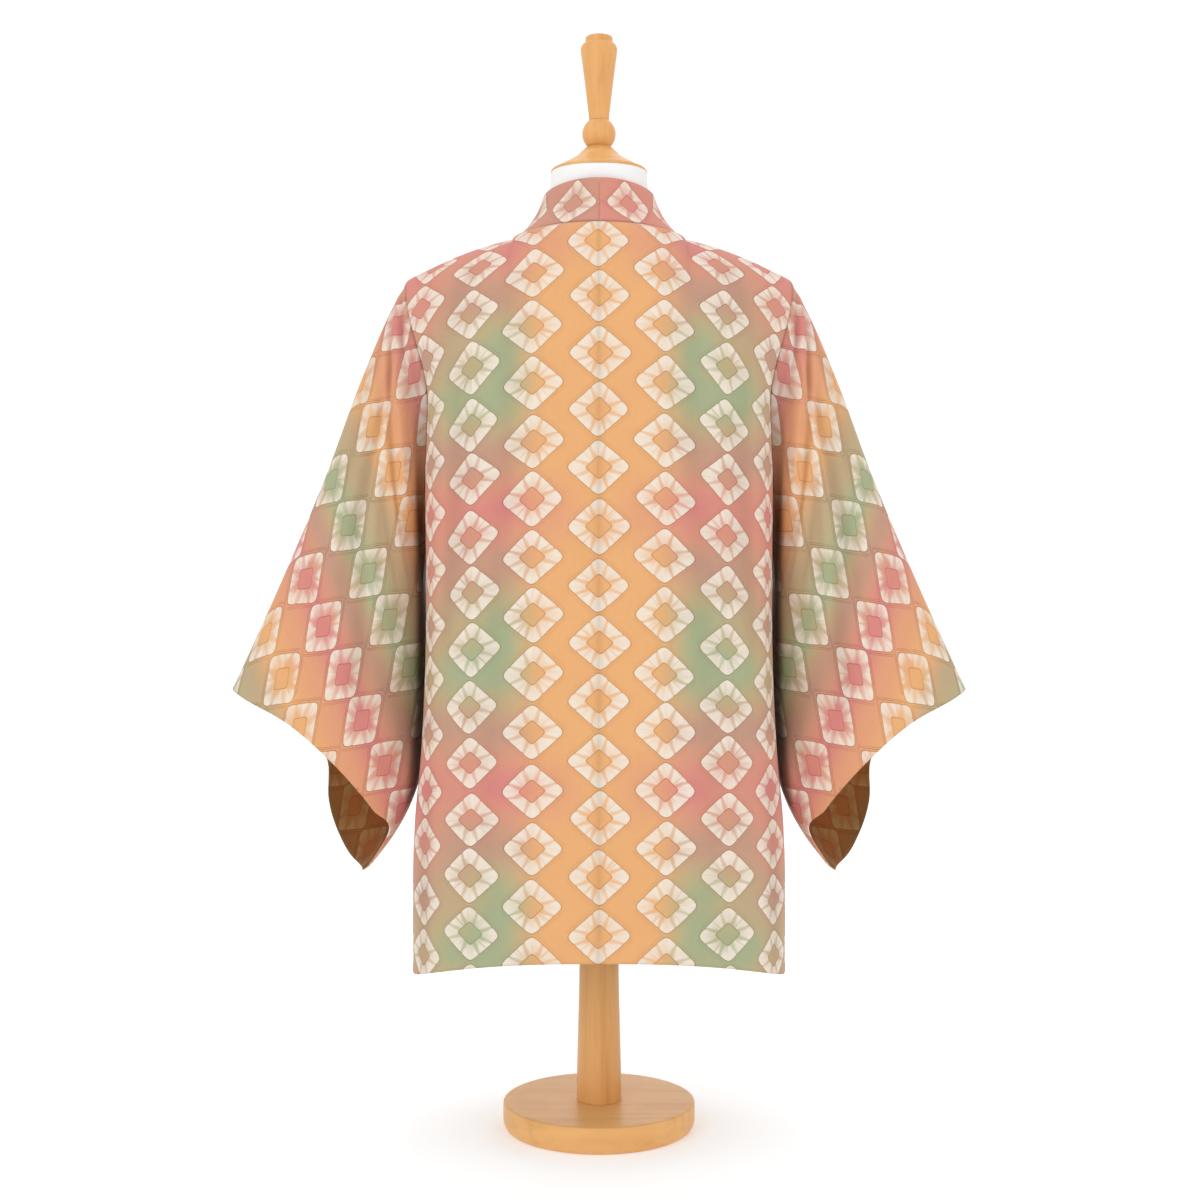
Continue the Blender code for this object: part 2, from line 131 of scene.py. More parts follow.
SLEEVE = table("share top_x top_y top_z low_x low_y low_z half_depth", [
    (0.00, 20.2, 0.0, 89.5, 18.5, 0.0, 66.0, 5.2),
    (0.10, 22.3, 0.0, 85.6, 18.95, 2.6, 60.5, 5.2),
    (0.25, 24.9, 0.0, 79.6, 18.65, 3.6, 54.0, 5.3),
    (0.50, 29.2, 0.2, 68.2, 18.6, 3.9, 45.0, 5.6),
    (0.75, 34.0, 0.7, 57.1, 19.85, 3.7, 35.3, 6.1),
    (0.90, 37.3, 1.0, 49.9, 22.4, 3.3, 30.2, 6.5),
    (1.00, 39.0, 1.2, 46.3, 25.0, 3.0, 26.8, 6.8),
])
CUFF = table("share back_dip front_dip", [
    (0.00, 0.0, 0.0),
    (0.08, 1.0, 0.5),
    (0.25, 3.2, 1.6),
    (0.50, 4.8, 2.2),
    (0.65, 5.2, -0.2),
    (0.80, 5.2, -1.3),
    (0.93, 4.6, -1.3),
    (1.00, 0.4, -0.6),
])
CUFF_REACH = 0.45
ARMHOLE_REACH = 0.22
FORM = table("height half_width half_depth centre", [
    (30.0, 14.8, 9.2, 0.0),
    (32.0, 15.5, 9.7, 0.0),
    (36.0, 15.8, 9.9, 0.0),
    (44.0, 14.8, 9.4, 0.0),
    (54.0, 12.6, 8.5, 0.0),
    (64.0, 13.5, 9.2, 0.1),
    (72.0, 14.9, 10.4, 0.2),
    (79.0, 15.8, 10.4, 0.1),
    (84.0, 16.9, 9.4, -0.2),
    (87.5, 17.9, 8.0, -0.4),
    (88.9, 17.6, 6.6, -0.3),
    (90.0, 16.2, 5.6, -0.2),
    (91.1, 13.0, 5.1, 0.0),
    (92.1, 10.0, 5.1, 0.0),
    (93.4, 7.5, 5.3, 0.0),
    (95.2, 6.0, 5.4, 0.0),
    (98.0, 5.3, 5.2, 0.0),
    (100.8, 5.1, 5.1, 0.0),
])
FORM_POWER = 2.2

# Creases of the cloth: soft ridges (positive) or troughs (negative) along a line from one
# place to another.  Across is measured from the centre back, or round the sleeve from its
# top fold towards the back, and height from the floor; all in centimetres.
BACK_CREASES = table("across0 height0 across1 height1 width depth", [
    (9.2, 91.0, 10.2, 50.0, 1.3, -0.10),
    (10.8, 60.0, 11.4, 21.0, 1.6, -0.10),
    (4.6, 70.0, 5.2, 24.0, 2.2, 0.08),
    (15.5, 82.0, 16.6, 46.0, 1.7, -0.16),
    (17.6, 76.0, 18.4, 38.0, 1.2, 0.14),
    (14.2, 52.0, 15.4, 17.0, 2.0, 0.16),
    (18.6, 40.0, 20.5, 17.0, 1.4, -0.20),
    (13.0, 90.5, 17.0, 82.0, 1.2, -0.10),
    (2.0, 88.0, 7.5, 92.0, 1.0, 0.05),
])
FRONT_CREASES = table("across0 height0 across1 height1 width depth", [
    (11.5, 90.0, 12.0, 52.0, 1.5, -0.12),
    (15.0, 84.0, 15.8, 40.0, 1.5, 0.14),
    (18.0, 72.0, 18.8, 30.0, 1.3, -0.16),
    (12.6, 48.0, 13.6, 17.0, 2.1, 0.16),
    (17.2, 44.0, 19.0, 17.0, 1.6, -0.18),
])
SLEEVE_CREASES = table("round0 along0 round1 along1 width depth", [
    (0.6, 0.9, 21.0, 5.6, 0.60, -0.38),
    (1.4, 1.9, 20.0, 7.6, 0.80, 0.36),
    (2.0, 3.4, 19.0, 10.4, 0.60, -0.34),
    (3.2, 5.0, 23.0, 14.0, 1.10, 0.16),
    (5.0, 7.6, 21.0, 17.5, 1.00, -0.12),
    (-0.8, 1.0, -19.0, 5.2, 0.60, -0.26),
    (-1.6, 2.2, -18.0, 8.0, 0.85, 0.28),
    (-2.6, 4.2, -20.0, 12.5, 0.90, -0.20),
    (6.0, 0.5, 11.5, 30.0, 1.6, -0.28),
    (9.0, 2.0, 15.5, 26.0, 1.3, 0.26),
    (3.0, 1.0, 5.5, 22.0, 1.3, -0.16),
    (12.5, 20.0, 17.0, 40.0, 1.8, -0.22),
    (7.5, 28.0, 9.0, 45.0, 2.2, 0.16),
    (-4.0, 1.0, -8.5, 26.0, 1.5, -0.24),
    (-8.0, 3.0, -14.0, 30.0, 1.5, 0.24),
    (-12.0, 18.0, -16.0, 42.0, 1.9, -0.20),
    (-6.0, 28.0, -7.0, 45.0, 2.0, 0.14),
])

# The body's dyes: one small drawn repeat, which runs on down the cloth and is mirrored
# at the centre seam.  Each mark is a dye, from the centre outwards, and each line is one step
# lower.  O orange, S orange going pink, P pink, R rose, M the brown where dyes meet, K the
# olive where green fades, G green.
DYES = {
    "O": (0.00, 0.00, 0.00),
    "S": (0.40, 0.00, 0.00),
    "P": (1.00, 0.00, 0.00),
    "R": (0.75, 0.00, 0.40),
    "M": (0.15, 0.00, 0.90),
    "K": (0.00, 0.40, 0.60),
    "G": (0.00, 1.00, 0.10),
}
WASH_REPEAT = (
    "O S P R P",
    "O O M M R",
    "O O G K M",
    "O O G G K",
    "O O M M M",
)
WASH_OUT = 5.0                   # centimetres from mark to mark across the cloth
WASH_DOWN = 5.5                  # and from line to line down it
WASH_TOP = 92.0                  # height of the first line
# The sleeves' dyes run down their ring columns: one repeat of three columns, in half columns.
SLEEVE_REPEAT = "G M P S O K"
SLEEVE_STEP = 0.5

# Ring lattice: even columns and rows, which sag beside the sleeves, most at the shoulders.
COLUMN_PITCH = 6.6
ROW_PITCH = 5.8
FIRST_ROW = 22.4                 # height of a ring of the centre column
SAG = 2.8                        # how far the rows sag at the shoulders
SAG_OUT = (4.0, 22.0)            # centimetres from the centre seam, no sag to full sag
SAG_UP = (20.0, 90.0)            # heights, no sag to full sag
# On a sleeve: a ring of the green column, the way to the next column and up to the next ring.
SLEEVE_RING = (24.0, 58.5)
SLEEVE_COLUMN = (4.5, -5.5)
SLEEVE_ROW = (2.0, 4.9)


# ---------------------------------------------------------------- what a user may change

def colour_of(name, value, words):
    return FloatVectorProperty(name=name, description=words, subtype="COLOR", size=3,
                               min=0.0, max=1.0, default=value)


class HaoriCloth(bpy.types.PropertyGroup):
    cloth_wall: FloatProperty(name="Cloth", description="Thickness of the cloth",
                              default=0.0012, unit="LENGTH")
    collar_wall: FloatProperty(name="Collar", description="Thickness of the folded collar band",
                               default=0.0028, unit="LENGTH")
    seam_dip: FloatProperty(name="Seam", description="How deep the cloth dips at a seam",
                            default=0.0007, unit="LENGTH")
    crease_share: FloatProperty(name="Creases", description="Share of the full crease depth",
                                default=1.0, min=0.0, max=2.0, subtype="FACTOR")
    orange: colour_of("Orange", (0.775, 0.405, 0.170), "Ground dye")
    pink: colour_of("Pink", (0.650, 0.232, 0.205), "Pink dye")
    green: colour_of("Green", (0.365, 0.410, 0.240), "Green dye")
    mauve: colour_of("Mauve", (0.475, 0.300, 0.215), "Dye where two washes meet")
    cream: colour_of("Cream", (0.800, 0.712, 0.600), "Undyed cloth of the rings")
    # The inner side's tint is partly the back face's own duller dye and partly painted shade inside the
    # cuffs, hem and openings.
    reverse: colour_of("Reverse", (0.36, 0.20, 0.070), "Tint of the cloth's reverse")
    # Painted shade: the tint that cloth in hollows, troughs and gaps is darkened towards.
    shade: colour_of("Shade", (0.17, 0.10, 0.06), "Tint of the cloth deep in a hollow")


class HaoriStand(bpy.types.PropertyGroup):
    wood_light: colour_of("Light wood", (0.80, 0.43, 0.150), "Wood between the grain lines")
    wood_dark: colour_of("Dark wood", (0.58, 0.235, 0.058), "Wood of the grain lines")
    cover: colour_of("Cover", (0.90, 0.90, 0.89), "Cotton cover of the form")


class HaoriStage(bpy.types.PropertyGroup):
    camera_distance: FloatProperty(name="Distance", description="Camera to the stand's axis",
                                   default=1.80, unit="LENGTH")
    camera_height: FloatProperty(name="Height", description="Camera above the floor",
                                 default=0.557, unit="LENGTH")
    focal_length: FloatProperty(name="Lens", description="Focal length in millimetres", default=50.9)
    floor_side: FloatProperty(name="Floor", description="Side of the floor", default=9.0, unit="LENGTH")


GROUPS = {"haori_cloth": HaoriCloth, "haori_stand": HaoriStand, "haori_stage": HaoriStage}


# ---------------------------------------------------------------- curves and surfaces

def along(rows, column, at):
    """One column of a table read at any key, by cubic pieces whose slopes are averaged."""
    names = list(rows)
    key, value = rows[names[0]], rows[column]
    slope = np.gradient(value, key)
    at = np.clip(at, key[0], key[-1])
    low = np.clip(np.searchsorted(key, at) - 1, 0, len(key) - 2)
    span = key[low + 1] - key[low]
    t = (at - key[low]) / span
    return ((1 + 2 * t) * (1 - t) ** 2 * value[low] + t * (1 - t) ** 2 * span * slope[low]
            + t * t * (3 - 2 * t) * value[low + 1] + t * t * (t - 1) * span * slope[low + 1])


def ease(t):
    """Smooth step from 0 to 1, 3t^2 - 2t^3."""
    t = np.clip(t, 0.0, 1.0)
    return t * t * (3 - 2 * t)


def section_point(height, start, end, share, depth_column):
    """The body's section x = a sin^(2/n), y = d cos^(2/n) from the start to the end angle."""
    half_width = along(BODY, "half_width", height)
    depth = along(BODY, depth_column, height)
    angle = start + (end - start) * share
    x = half_width * np.sin(angle) ** (2 / SECTION_POWER)
    y = depth * np.cos(angle) ** (2 / SECTION_POWER)
    return x, y


def edge_angle(height, depth_column):
    """Angle at which the section reaches the panel's outer edge."""
    depth = along(BODY, depth_column, height)
    opening = along(SIDE_EDGE, "half_opening", height)
    return np.arccos(np.clip(opening / depth, 0, 1) ** (SECTION_POWER / 2))


def front_angle(height):
    """Angle at which the front section reaches the collar's seam."""
    half_width = along(BODY, "half_width", height)
    reach = along(FRONT_EDGE, "reach", height)
    return np.arcsin(np.clip(reach / half_width, 0, 1) ** (SECTION_POWER / 2))


def shoulder_line(across):
    """Top of the panel: a quarter of the neckline, then the shoulder line, bowed by a sine."""
    turn = np.clip(across / NECKLINE_SHARE, 0, 1) * np.pi / 2
    out = np.clip((across - NECKLINE_SHARE) / (1 - NECKLINE_SHARE), 0, 1)
    on_neck = across <= NECKLINE_SHARE
    x_neck = NECK_POINT[0] * np.sin(turn)
    y_neck = -NECK_BACK[0] * np.cos(turn)
    z_neck = NECK_BACK[1] + (NECK_POINT[2] - NECK_BACK[1]) * np.sin(turn) ** 2
    x_out = NECK_POINT[0] + (SHOULDER_POINT[0] - NECK_POINT[0]) * out
    z_out = (NECK_POINT[2] + (SHOULDER_POINT[2] - NECK_POINT[2]) * out ** 1.15
             + SHOULDER_CROWN * np.sin(np.pi * out))
    return (np.where(on_neck, x_neck, x_out), np.where(on_neck, y_neck, 0.0),
            np.where(on_neck, z_neck, z_out))


def body_surface(across, drop, side):
    """Points of the body panel at a drop below its top; side is -1 behind and 1 in front.

    The cloth leaves its top level and reaches the section's depth as a rounded corner,
    1 - (1 - t)^p to the power 1/p, while its width eases from the top's to the section's."""
    top_x, top_y, top_z = shoulder_line(across)
    height = top_z - drop
    column = "back_depth" if side < 0 else "front_depth"
    end = edge_angle(height, column)
    if side < 0:
        x, y = section_point(height, 0.0, end, across, column)
    else:
        share = np.clip((across - NECKLINE_SHARE) / (1 - NECKLINE_SHARE), 0, 1)
        x, y = section_point(height, front_angle(height), end, share, column)
    turn = np.clip(drop / SHOULDER_DROP, 0, 1)
    turned = (1 - (1 - turn) ** SHOULDER_POWER) ** (1 / SHOULDER_POWER)
    eased = ease(drop / SHOULDER_EASE)
    x = top_x + (x - top_x) * eased
    y = top_y + (side * y - top_y) * turned
    return np.stack([x, y, height], axis=-1)


def hem_height(across, side):
    """Height of the hem: highest at the centre, lowest at the side."""
    middle = HEM_BACK if side < 0 else HEM_FRONT
    return HEM_SIDE + (middle - HEM_SIDE) * np.cos(np.clip(across, 0, 1) * np.pi / 2) ** 1.3


def drops(across, side, over_rows, down_rows):
    """Drops of the panel's rows: 1 - cos over the shoulder, then even steps to the hem."""
    length = shoulder_line(across)[2] - hem_height(across, side)
    over = SHOULDER_DROP * (1 - np.cos(np.linspace(0, np.pi / 2, over_rows + 1)))
    down = np.linspace(0, 1, down_rows + 1)[1:, None]
    return np.concatenate([np.repeat(over[:, None], len(across), 1),
                           SHOULDER_DROP + down * (length - SHOULDER_DROP)])


def armhole(turn):
    """Edge of the armhole by the turn round it, in the spacing that the panels' edges have.

    Each side's drops are 1 - cos over the shoulder and then even; between them the edge
    crosses the gusset's top in a straight line."""
    over = SHOULDER_DROP * (1 - np.cos(np.linspace(0, np.pi / 2, EDGE_DROPS_ROUND + 1)))
    end = SHOULDER_POINT[2] - ARMPIT_HEIGHT
    edge = np.concatenate([over, np.linspace(SHOULDER_DROP, end, EDGE_DROPS_DOWN + 1)[1:]])
    place = turn / (2 * np.pi) * COLUMNS_OF_EDGE
    last = len(edge) - 1
    behind = np.interp(place, np.arange(last + 1), edge)
    before = np.interp(COLUMNS_OF_EDGE - place, np.arange(last + 1), edge)
    ones = np.ones_like(turn)
    back, front = body_surface(ones, behind, -1), body_surface(ones, before, 1)
    cross = np.clip(place - last, 0, COLUMNS_OF_EDGE - 2 * last) / (COLUMNS_OF_EDGE - 2 * last)
    inner = back[..., 0].min()
    x = np.interp(cross, [0, 0.5, 1], [inner, along(BODY, "half_width", ARMPIT_HEIGHT), inner])
    y = back[..., 1] + (front[..., 1] - back[..., 1]) * cross
    over_gusset = np.stack([x, y, back[..., 2]], axis=-1)
    middle = ((place > last) & (place < COLUMNS_OF_EDGE - last))[..., None]
    behind_turn = (turn <= np.pi)[..., None]
    return np.where(middle, over_gusset, np.where(behind_turn, back, front))


def sleeve_section(share, turn):
    """The sleeve's flat ring: (1 - cos)/2 of the way from fold to fold, its depth the sine.

    Near the cuff each layer's edge dips inside the straight line between the folds."""
    way = (1 - np.cos(turn)) / 2
    side = np.where(np.sin(turn) >= 0, -1.0, 1.0)
    top_x, top_y, top_z = (along(SLEEVE, "top_" + axis, share) for axis in "xyz")
    low_x, low_y, low_z = (along(SLEEVE, "low_" + axis, share) for axis in "xyz")
    length = np.hypot(low_x - top_x, low_z - top_z)
    into_x, into_z = (low_z - top_z) / length, -(low_x - top_x) / length
    dip = np.where(side < 0, along(CUFF, "back_dip", way), along(CUFF, "front_dip", way))
    dip = dip * ease((share - 1 + CUFF_REACH) / CUFF_REACH)
    depth = along(SLEEVE, "half_depth", share) * np.abs(np.sin(turn)) ** 0.9
    x = top_x + (low_x - top_x) * way + into_x * dip
    y = top_y + (low_y - top_y) * way + side * depth
    z = top_z + (low_z - top_z) * way + into_z * dip
    return np.stack([x, y, z], axis=-1)


def sleeve_surface(share, turn):
    """The sleeve's rings, the first one moved onto the armhole's edge and the rest less so."""
    grid = sleeve_section(share[:, None], turn[None])
    away = (1 - ease(share / ARMHOLE_REACH))[:, None, None]
    return grid + (armhole(turn) - sleeve_section(np.zeros(1)[:, None], turn[None])[0])[None] * away


def lengths(grid, axis):
    """Distance run along an axis of a grid of points, from 0 at its start."""
    step = np.linalg.norm(np.diff(grid, axis=axis), axis=-1)
    run = np.cumsum(step, axis=axis)
    start = np.zeros_like(np.take(run, [0], axis=axis))
    return np.concatenate([start, run], axis=axis)


def normals_of(grid, ring=False):
    """Unit normals of a grid: the cross product of its slopes along columns and rows."""
    if ring:
        around = np.concatenate([grid[:, -2:-1], grid, grid[:, 1:2]], axis=1)
        across = (around[:, 2:] - around[:, :-2]) / 2
    else:
        across = np.gradient(grid, axis=1)
    normal = np.cross(across, np.gradient(grid, axis=0))
    return normal / np.maximum(np.linalg.norm(normal, axis=-1, keepdims=True), 1e-9)


def crease_moves(creases, place_a, place_b):
    """How far the cloth stands out, or in where negative, by its creases.

    Each crease is a Gaussian of the distance to its line, faded at the line's two ends."""
    names = list(creases)
    move = np.zeros(np.broadcast(place_a, place_b).shape)
    for a0, b0, a1, b1, width, depth in zip(*(creases[name] for name in names)):
        run_a, run_b = a1 - a0, b1 - b0
        t = ((place_a - a0) * run_a + (place_b - b0) * run_b) / (run_a ** 2 + run_b ** 2)
        wander = 0.35 * width * np.sin(t * 5.1 + a0)
        inside = np.clip(t, 0, 1)
        away = np.hypot(place_a - a0 - run_a * inside - wander, place_b - b0 - run_b * inside)
        fade = np.sin(np.pi * np.clip(inside, 0.02, 0.98)) ** 0.6
        move = move + depth * fade * np.exp(-(away / width) ** 2)
    return move * bpy.context.scene.haori_cloth.crease_share


def trough_shade(move):
    """Painted shade in a trough: how much less light reaches the cloth there, a share of its depth, up
    to a half.
    """
    return np.clip(-move * TROUGH_SHADE, 0, 0.5)


def with_painted_light(dye, painted_light):
    """Dye weights with the painted light as a fourth number: 1 where the cloth is fully lit, lower where
    painted shade darkens its colour.
    """
    return np.concatenate([dye, np.broadcast_to(painted_light, dye.shape[:2])[..., None]], axis=-1)


def body_washes(across, height):
    """Dye weights on the body, read from the repeat with smooth steps between its marks."""
    marks = np.array([[DYES[mark] for mark in line.split()] for line in WASH_REPEAT])
    line = (WASH_TOP - height) / WASH_DOWN
    mark = np.clip(np.abs(across) / WASH_OUT, 0, marks.shape[1] - 1.001)
    low, out = np.floor(line).astype(int), mark.astype(int)
    down, over = ease(line - low)[..., None], ease(mark - out)[..., None]
    low, next_low = low % len(marks), (low + 1) % len(marks)
    upper = marks[low, out] * (1 - over) + marks[low, out + 1] * over
    lower = marks[next_low, out] * (1 - over) + marks[next_low, out + 1] * over
    return upper * (1 - down) + lower * down


def sleeve_washes(column):
    """Dye weights on a sleeve by its ring column, with smooth steps between the marks."""
    marks = np.array([DYES[mark] for mark in SLEEVE_REPEAT.split()])
    place = column / SLEEVE_STEP
    low = np.floor(place).astype(int)
    over = ease(place - low)[..., None]
    return marks[low % len(marks)] * (1 - over) + marks[(low + 1) % len(marks)] * over


# ---------------------------------------------------------------- making meshes

def grid_piece(name, grid, lattice=None, dye=None, cells=None, ring=False, hand=1):
    """A mesh object from a grid of points in centimetres; a ring's last column is its first.

    lattice is read at the same places as a UV map, and dye as a colour attribute that holds
    the pink, green and brown washes and, fourth, the painted light: how open the cloth lies
    to the light, below 1 where shade is painted into its colour."""
    grid = grid * np.array([hand, 1.0, 1.0])
    rows, columns = grid.shape[:2]
    width = columns - 1 if ring else columns
    if cells is None:
        cells = np.ones((rows - 1, columns - 1), bool)
    r, c = np.nonzero(cells)
    corners = [(r, c), (r, c + 1), (r + 1, c + 1), (r + 1, c)]
    if hand < 0:
        corners = corners[::-1]
    used = np.zeros((rows, width), bool)
    for row, column in corners:
        used[row, column % width] = True
    number = np.cumsum(used.ravel()).reshape(rows, width) - 1
    faces = np.stack([number[row, column % width] for row, column in corners], axis=1)
    points = (grid[:, :width] * CM)[used]
    mesh = bpy.data.meshes.new(name)
    mesh.vertices.add(len(points))
    mesh.vertices.foreach_set("co", points.astype(np.float32).ravel())
    mesh.loops.add(faces.size)
    mesh.loops.foreach_set("vertex_index", faces.astype(np.int32).ravel())
    mesh.polygons.add(len(faces))
    mesh.polygons.foreach_set("loop_start", np.arange(0, faces.size, 4, dtype=np.int32))
    mesh.update(calc_edges=True)
    mesh.validate()
    if lattice is not None:
        spots = np.stack([lattice[row, column] for row, column in corners], axis=1)
        mesh.uv_layers.new(name="cloth").uv.foreach_set("vector", spots.astype(np.float32).ravel())
    if dye is not None:
        shades = np.stack([dye[row, column] for row, column in corners], axis=1)
        layer = mesh.color_attributes.new(name="dye", type="FLOAT_COLOR", domain="CORNER")
        layer.data.foreach_set("color", shades.astype(np.float32).ravel())
    mesh.polygons.foreach_set("use_smooth", np.ones(len(faces), bool))
    piece = bpy.data.objects.new(name, mesh)
    bpy.context.scene.collection.objects.link(piece)
    return piece


def thicken(piece, thickness, face, reverse, rounded=0.0):
    """Gives the cloth its thickness on the inner side, with the darker inner-side material there: partly
    the back face's duller dye, partly painted shade.
    """
    piece.data.materials.append(face)
    piece.data.materials.append(reverse)
    wall = piece.modifiers.new("Thickness", "SOLIDIFY")
    wall.thickness = thickness
    wall.offset = -1.0
    wall.use_even_offset = False
    wall.material_offset = 1
    wall.material_offset_rim = 0
    if rounded:
        edge = piece.modifiers.new("Fold", "BEVEL")
        edge.width = rounded
        edge.segments = 3
        edge.limit_method = "ANGLE"
        edge.angle_limit = math.radians(60)


def stand_for(piece, node):
    """The piece rides on the one body and stands for its CAD node, which is hidden."""
    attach(piece, "root")
    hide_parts(node)


def area_of(piece):
    """Area of the piece's own faces, before its thickness, in square metres."""
    area = np.empty(len(piece.data.polygons))
    piece.data.polygons.foreach_get("area", area)
    return float(area.sum())


# ---------------------------------------------------------------- shading

class Value:
    """A socket's value; its operators add Math nodes to the material it belongs to."""

    def __init__(self, shader, socket):
        self.shader = shader
        self.socket = socket

    def math(self, operation, *others):
        inputs = dict(enumerate((self,) + others))
        return self.shader.node("ShaderNodeMath", {"operation": operation}, inputs)

    def __add__(self, other):
        return self.math("ADD", other)

    def __radd__(self, other):
        return self.math("ADD", other)

    def __sub__(self, other):
        return self.math("SUBTRACT", other)

    def __rsub__(self, other):
        return self.shader.node("ShaderNodeMath", {"operation": "SUBTRACT"}, {0: other, 1: self})

    def __mul__(self, other):
        return self.math("MULTIPLY", other)

    def __rmul__(self, other):
        return self.math("MULTIPLY", other)

    def __truediv__(self, other):
        return self.math("DIVIDE", other)

    def __pow__(self, other):
        return self.math("POWER", other)

    def __abs__(self):
        return self.math("ABSOLUTE")

    def larger(self, other):
        return self.math("MAXIMUM", other)

    def smaller(self, other):
        return self.math("MINIMUM", other)

    def above(self, other):
        return self.math("GREATER_THAN", other)

    def floor(self):
        return self.math("FLOOR")

    def ramp(self, low, high):
        """0 below low, 1 above high, smooth between; low may be the larger."""
        settings = {"interpolation_type": "SMOOTHSTEP"}
        if low < high:
            inputs = {"Value": self, "From Min": low, "From Max": high, "To Min": 0.0, "To Max": 1.0}
        else:
            inputs = {"Value": self, "From Min": high, "From Max": low, "To Min": 1.0, "To Max": 0.0}
        return self.shader.node("ShaderNodeMapRange", settings, inputs)


class Shader:
    """A material and the one way its nodes are made."""

    def __init__(self, name):
        self.material = bpy.data.materials.new(name)
        self.material.use_nodes = True
        self.tree = self.material.node_tree
        self.surface = self.tree.nodes["Principled BSDF"]

    def node(self, kind, settings=None, inputs=None, output=0):
        """Adds a node, sets it and its sockets, and returns one of its outputs."""
        node = self.tree.nodes.new(kind)
        for name, value in (settings or {}).items():
            setattr(node, name, value)
        for name, value in (inputs or {}).items():
            if isinstance(value, Value):
                self.tree.links.new(value.socket, node.inputs[name])
            elif (isinstance(value, (tuple, list)) and len(value) == 3
                  and node.inputs[name].type == "RGBA"):
                node.inputs[name].default_value = (*value, 1.0)
            else:
                node.inputs[name].default_value = value
        return Value(self, node.outputs[output])

    def object_place(self):
        return self.node("ShaderNodeTexCoord", output="Object")

    def parts(self, vector):
        """The three numbers of a vector."""
        inputs = {"Vector": vector}
        return [self.node("ShaderNodeSeparateXYZ", None, inputs, axis) for axis in "XYZ"]

    def joined(self, x, y, z):
        return self.node("ShaderNodeCombineXYZ", None, {"X": x, "Y": y, "Z": z})

    def noise(self, place, scale, detail=2.0, roughness=0.5, output="Fac"):
        inputs = {"Vector": place, "Scale": scale, "Detail": detail, "Roughness": roughness}
        return self.node("ShaderNodeTexNoise", {"noise_dimensions": "3D"}, inputs, output)

    def chance(self, place, output="Value"):
        settings = {"noise_dimensions": "3D"}
        return self.node("ShaderNodeTexWhiteNoise", settings, {"Vector": place}, output)

    def mixed(self, first, second, share, blend="MIX"):
        """Two colours mixed by a share from 0 to 1."""
        settings = {"data_type": "RGBA", "blend_type": blend, "clamp_factor": True}
        inputs = {0: share, 6: first, 7: second}
        return self.node("ShaderNodeMix", settings, inputs, 2)

    def scaled(self, vector, scale):
        return self.node("ShaderNodeVectorMath", {"operation": "MULTIPLY"}, {0: vector, 1: scale})

    def grey(self, value):
        """A number as a grey colour, for mixing with colours."""
        return self.node("ShaderNodeCombineColor", None, {"Red": value, "Green": value, "Blue": value})

    def bump(self, height, distance, strength=1.0, under=None):
        inputs = {"Height": height, "Distance": distance, "Strength": strength}
        if under is not None:
            inputs["Normal"] = under
        return self.node("ShaderNodeBump", None, inputs)

    def finish(self, colour, roughness=None, normal=None, **fixed):
        """Joins the colour, roughness and normal to the surface and sets its fixed sockets."""
        for name, value in (("Base Color", colour), ("Roughness", roughness), ("Normal", normal)):
            if isinstance(value, Value):
                self.tree.links.new(value.socket, self.surface.inputs[name])
            elif value is not None:
                self.surface.inputs[name].default_value = value
        for name, value in fixed.items():
            self.surface.inputs[name.replace("_", " ")].default_value = value
        return self.material


RING_SQUARENESS = 8.0            # power of a ring's rounded outline
RING_HOLE = 0.42                 # its inner square, as a share of its size
SPOKE_SHARE = 0.46               # where its spokes stand between mid side and corner


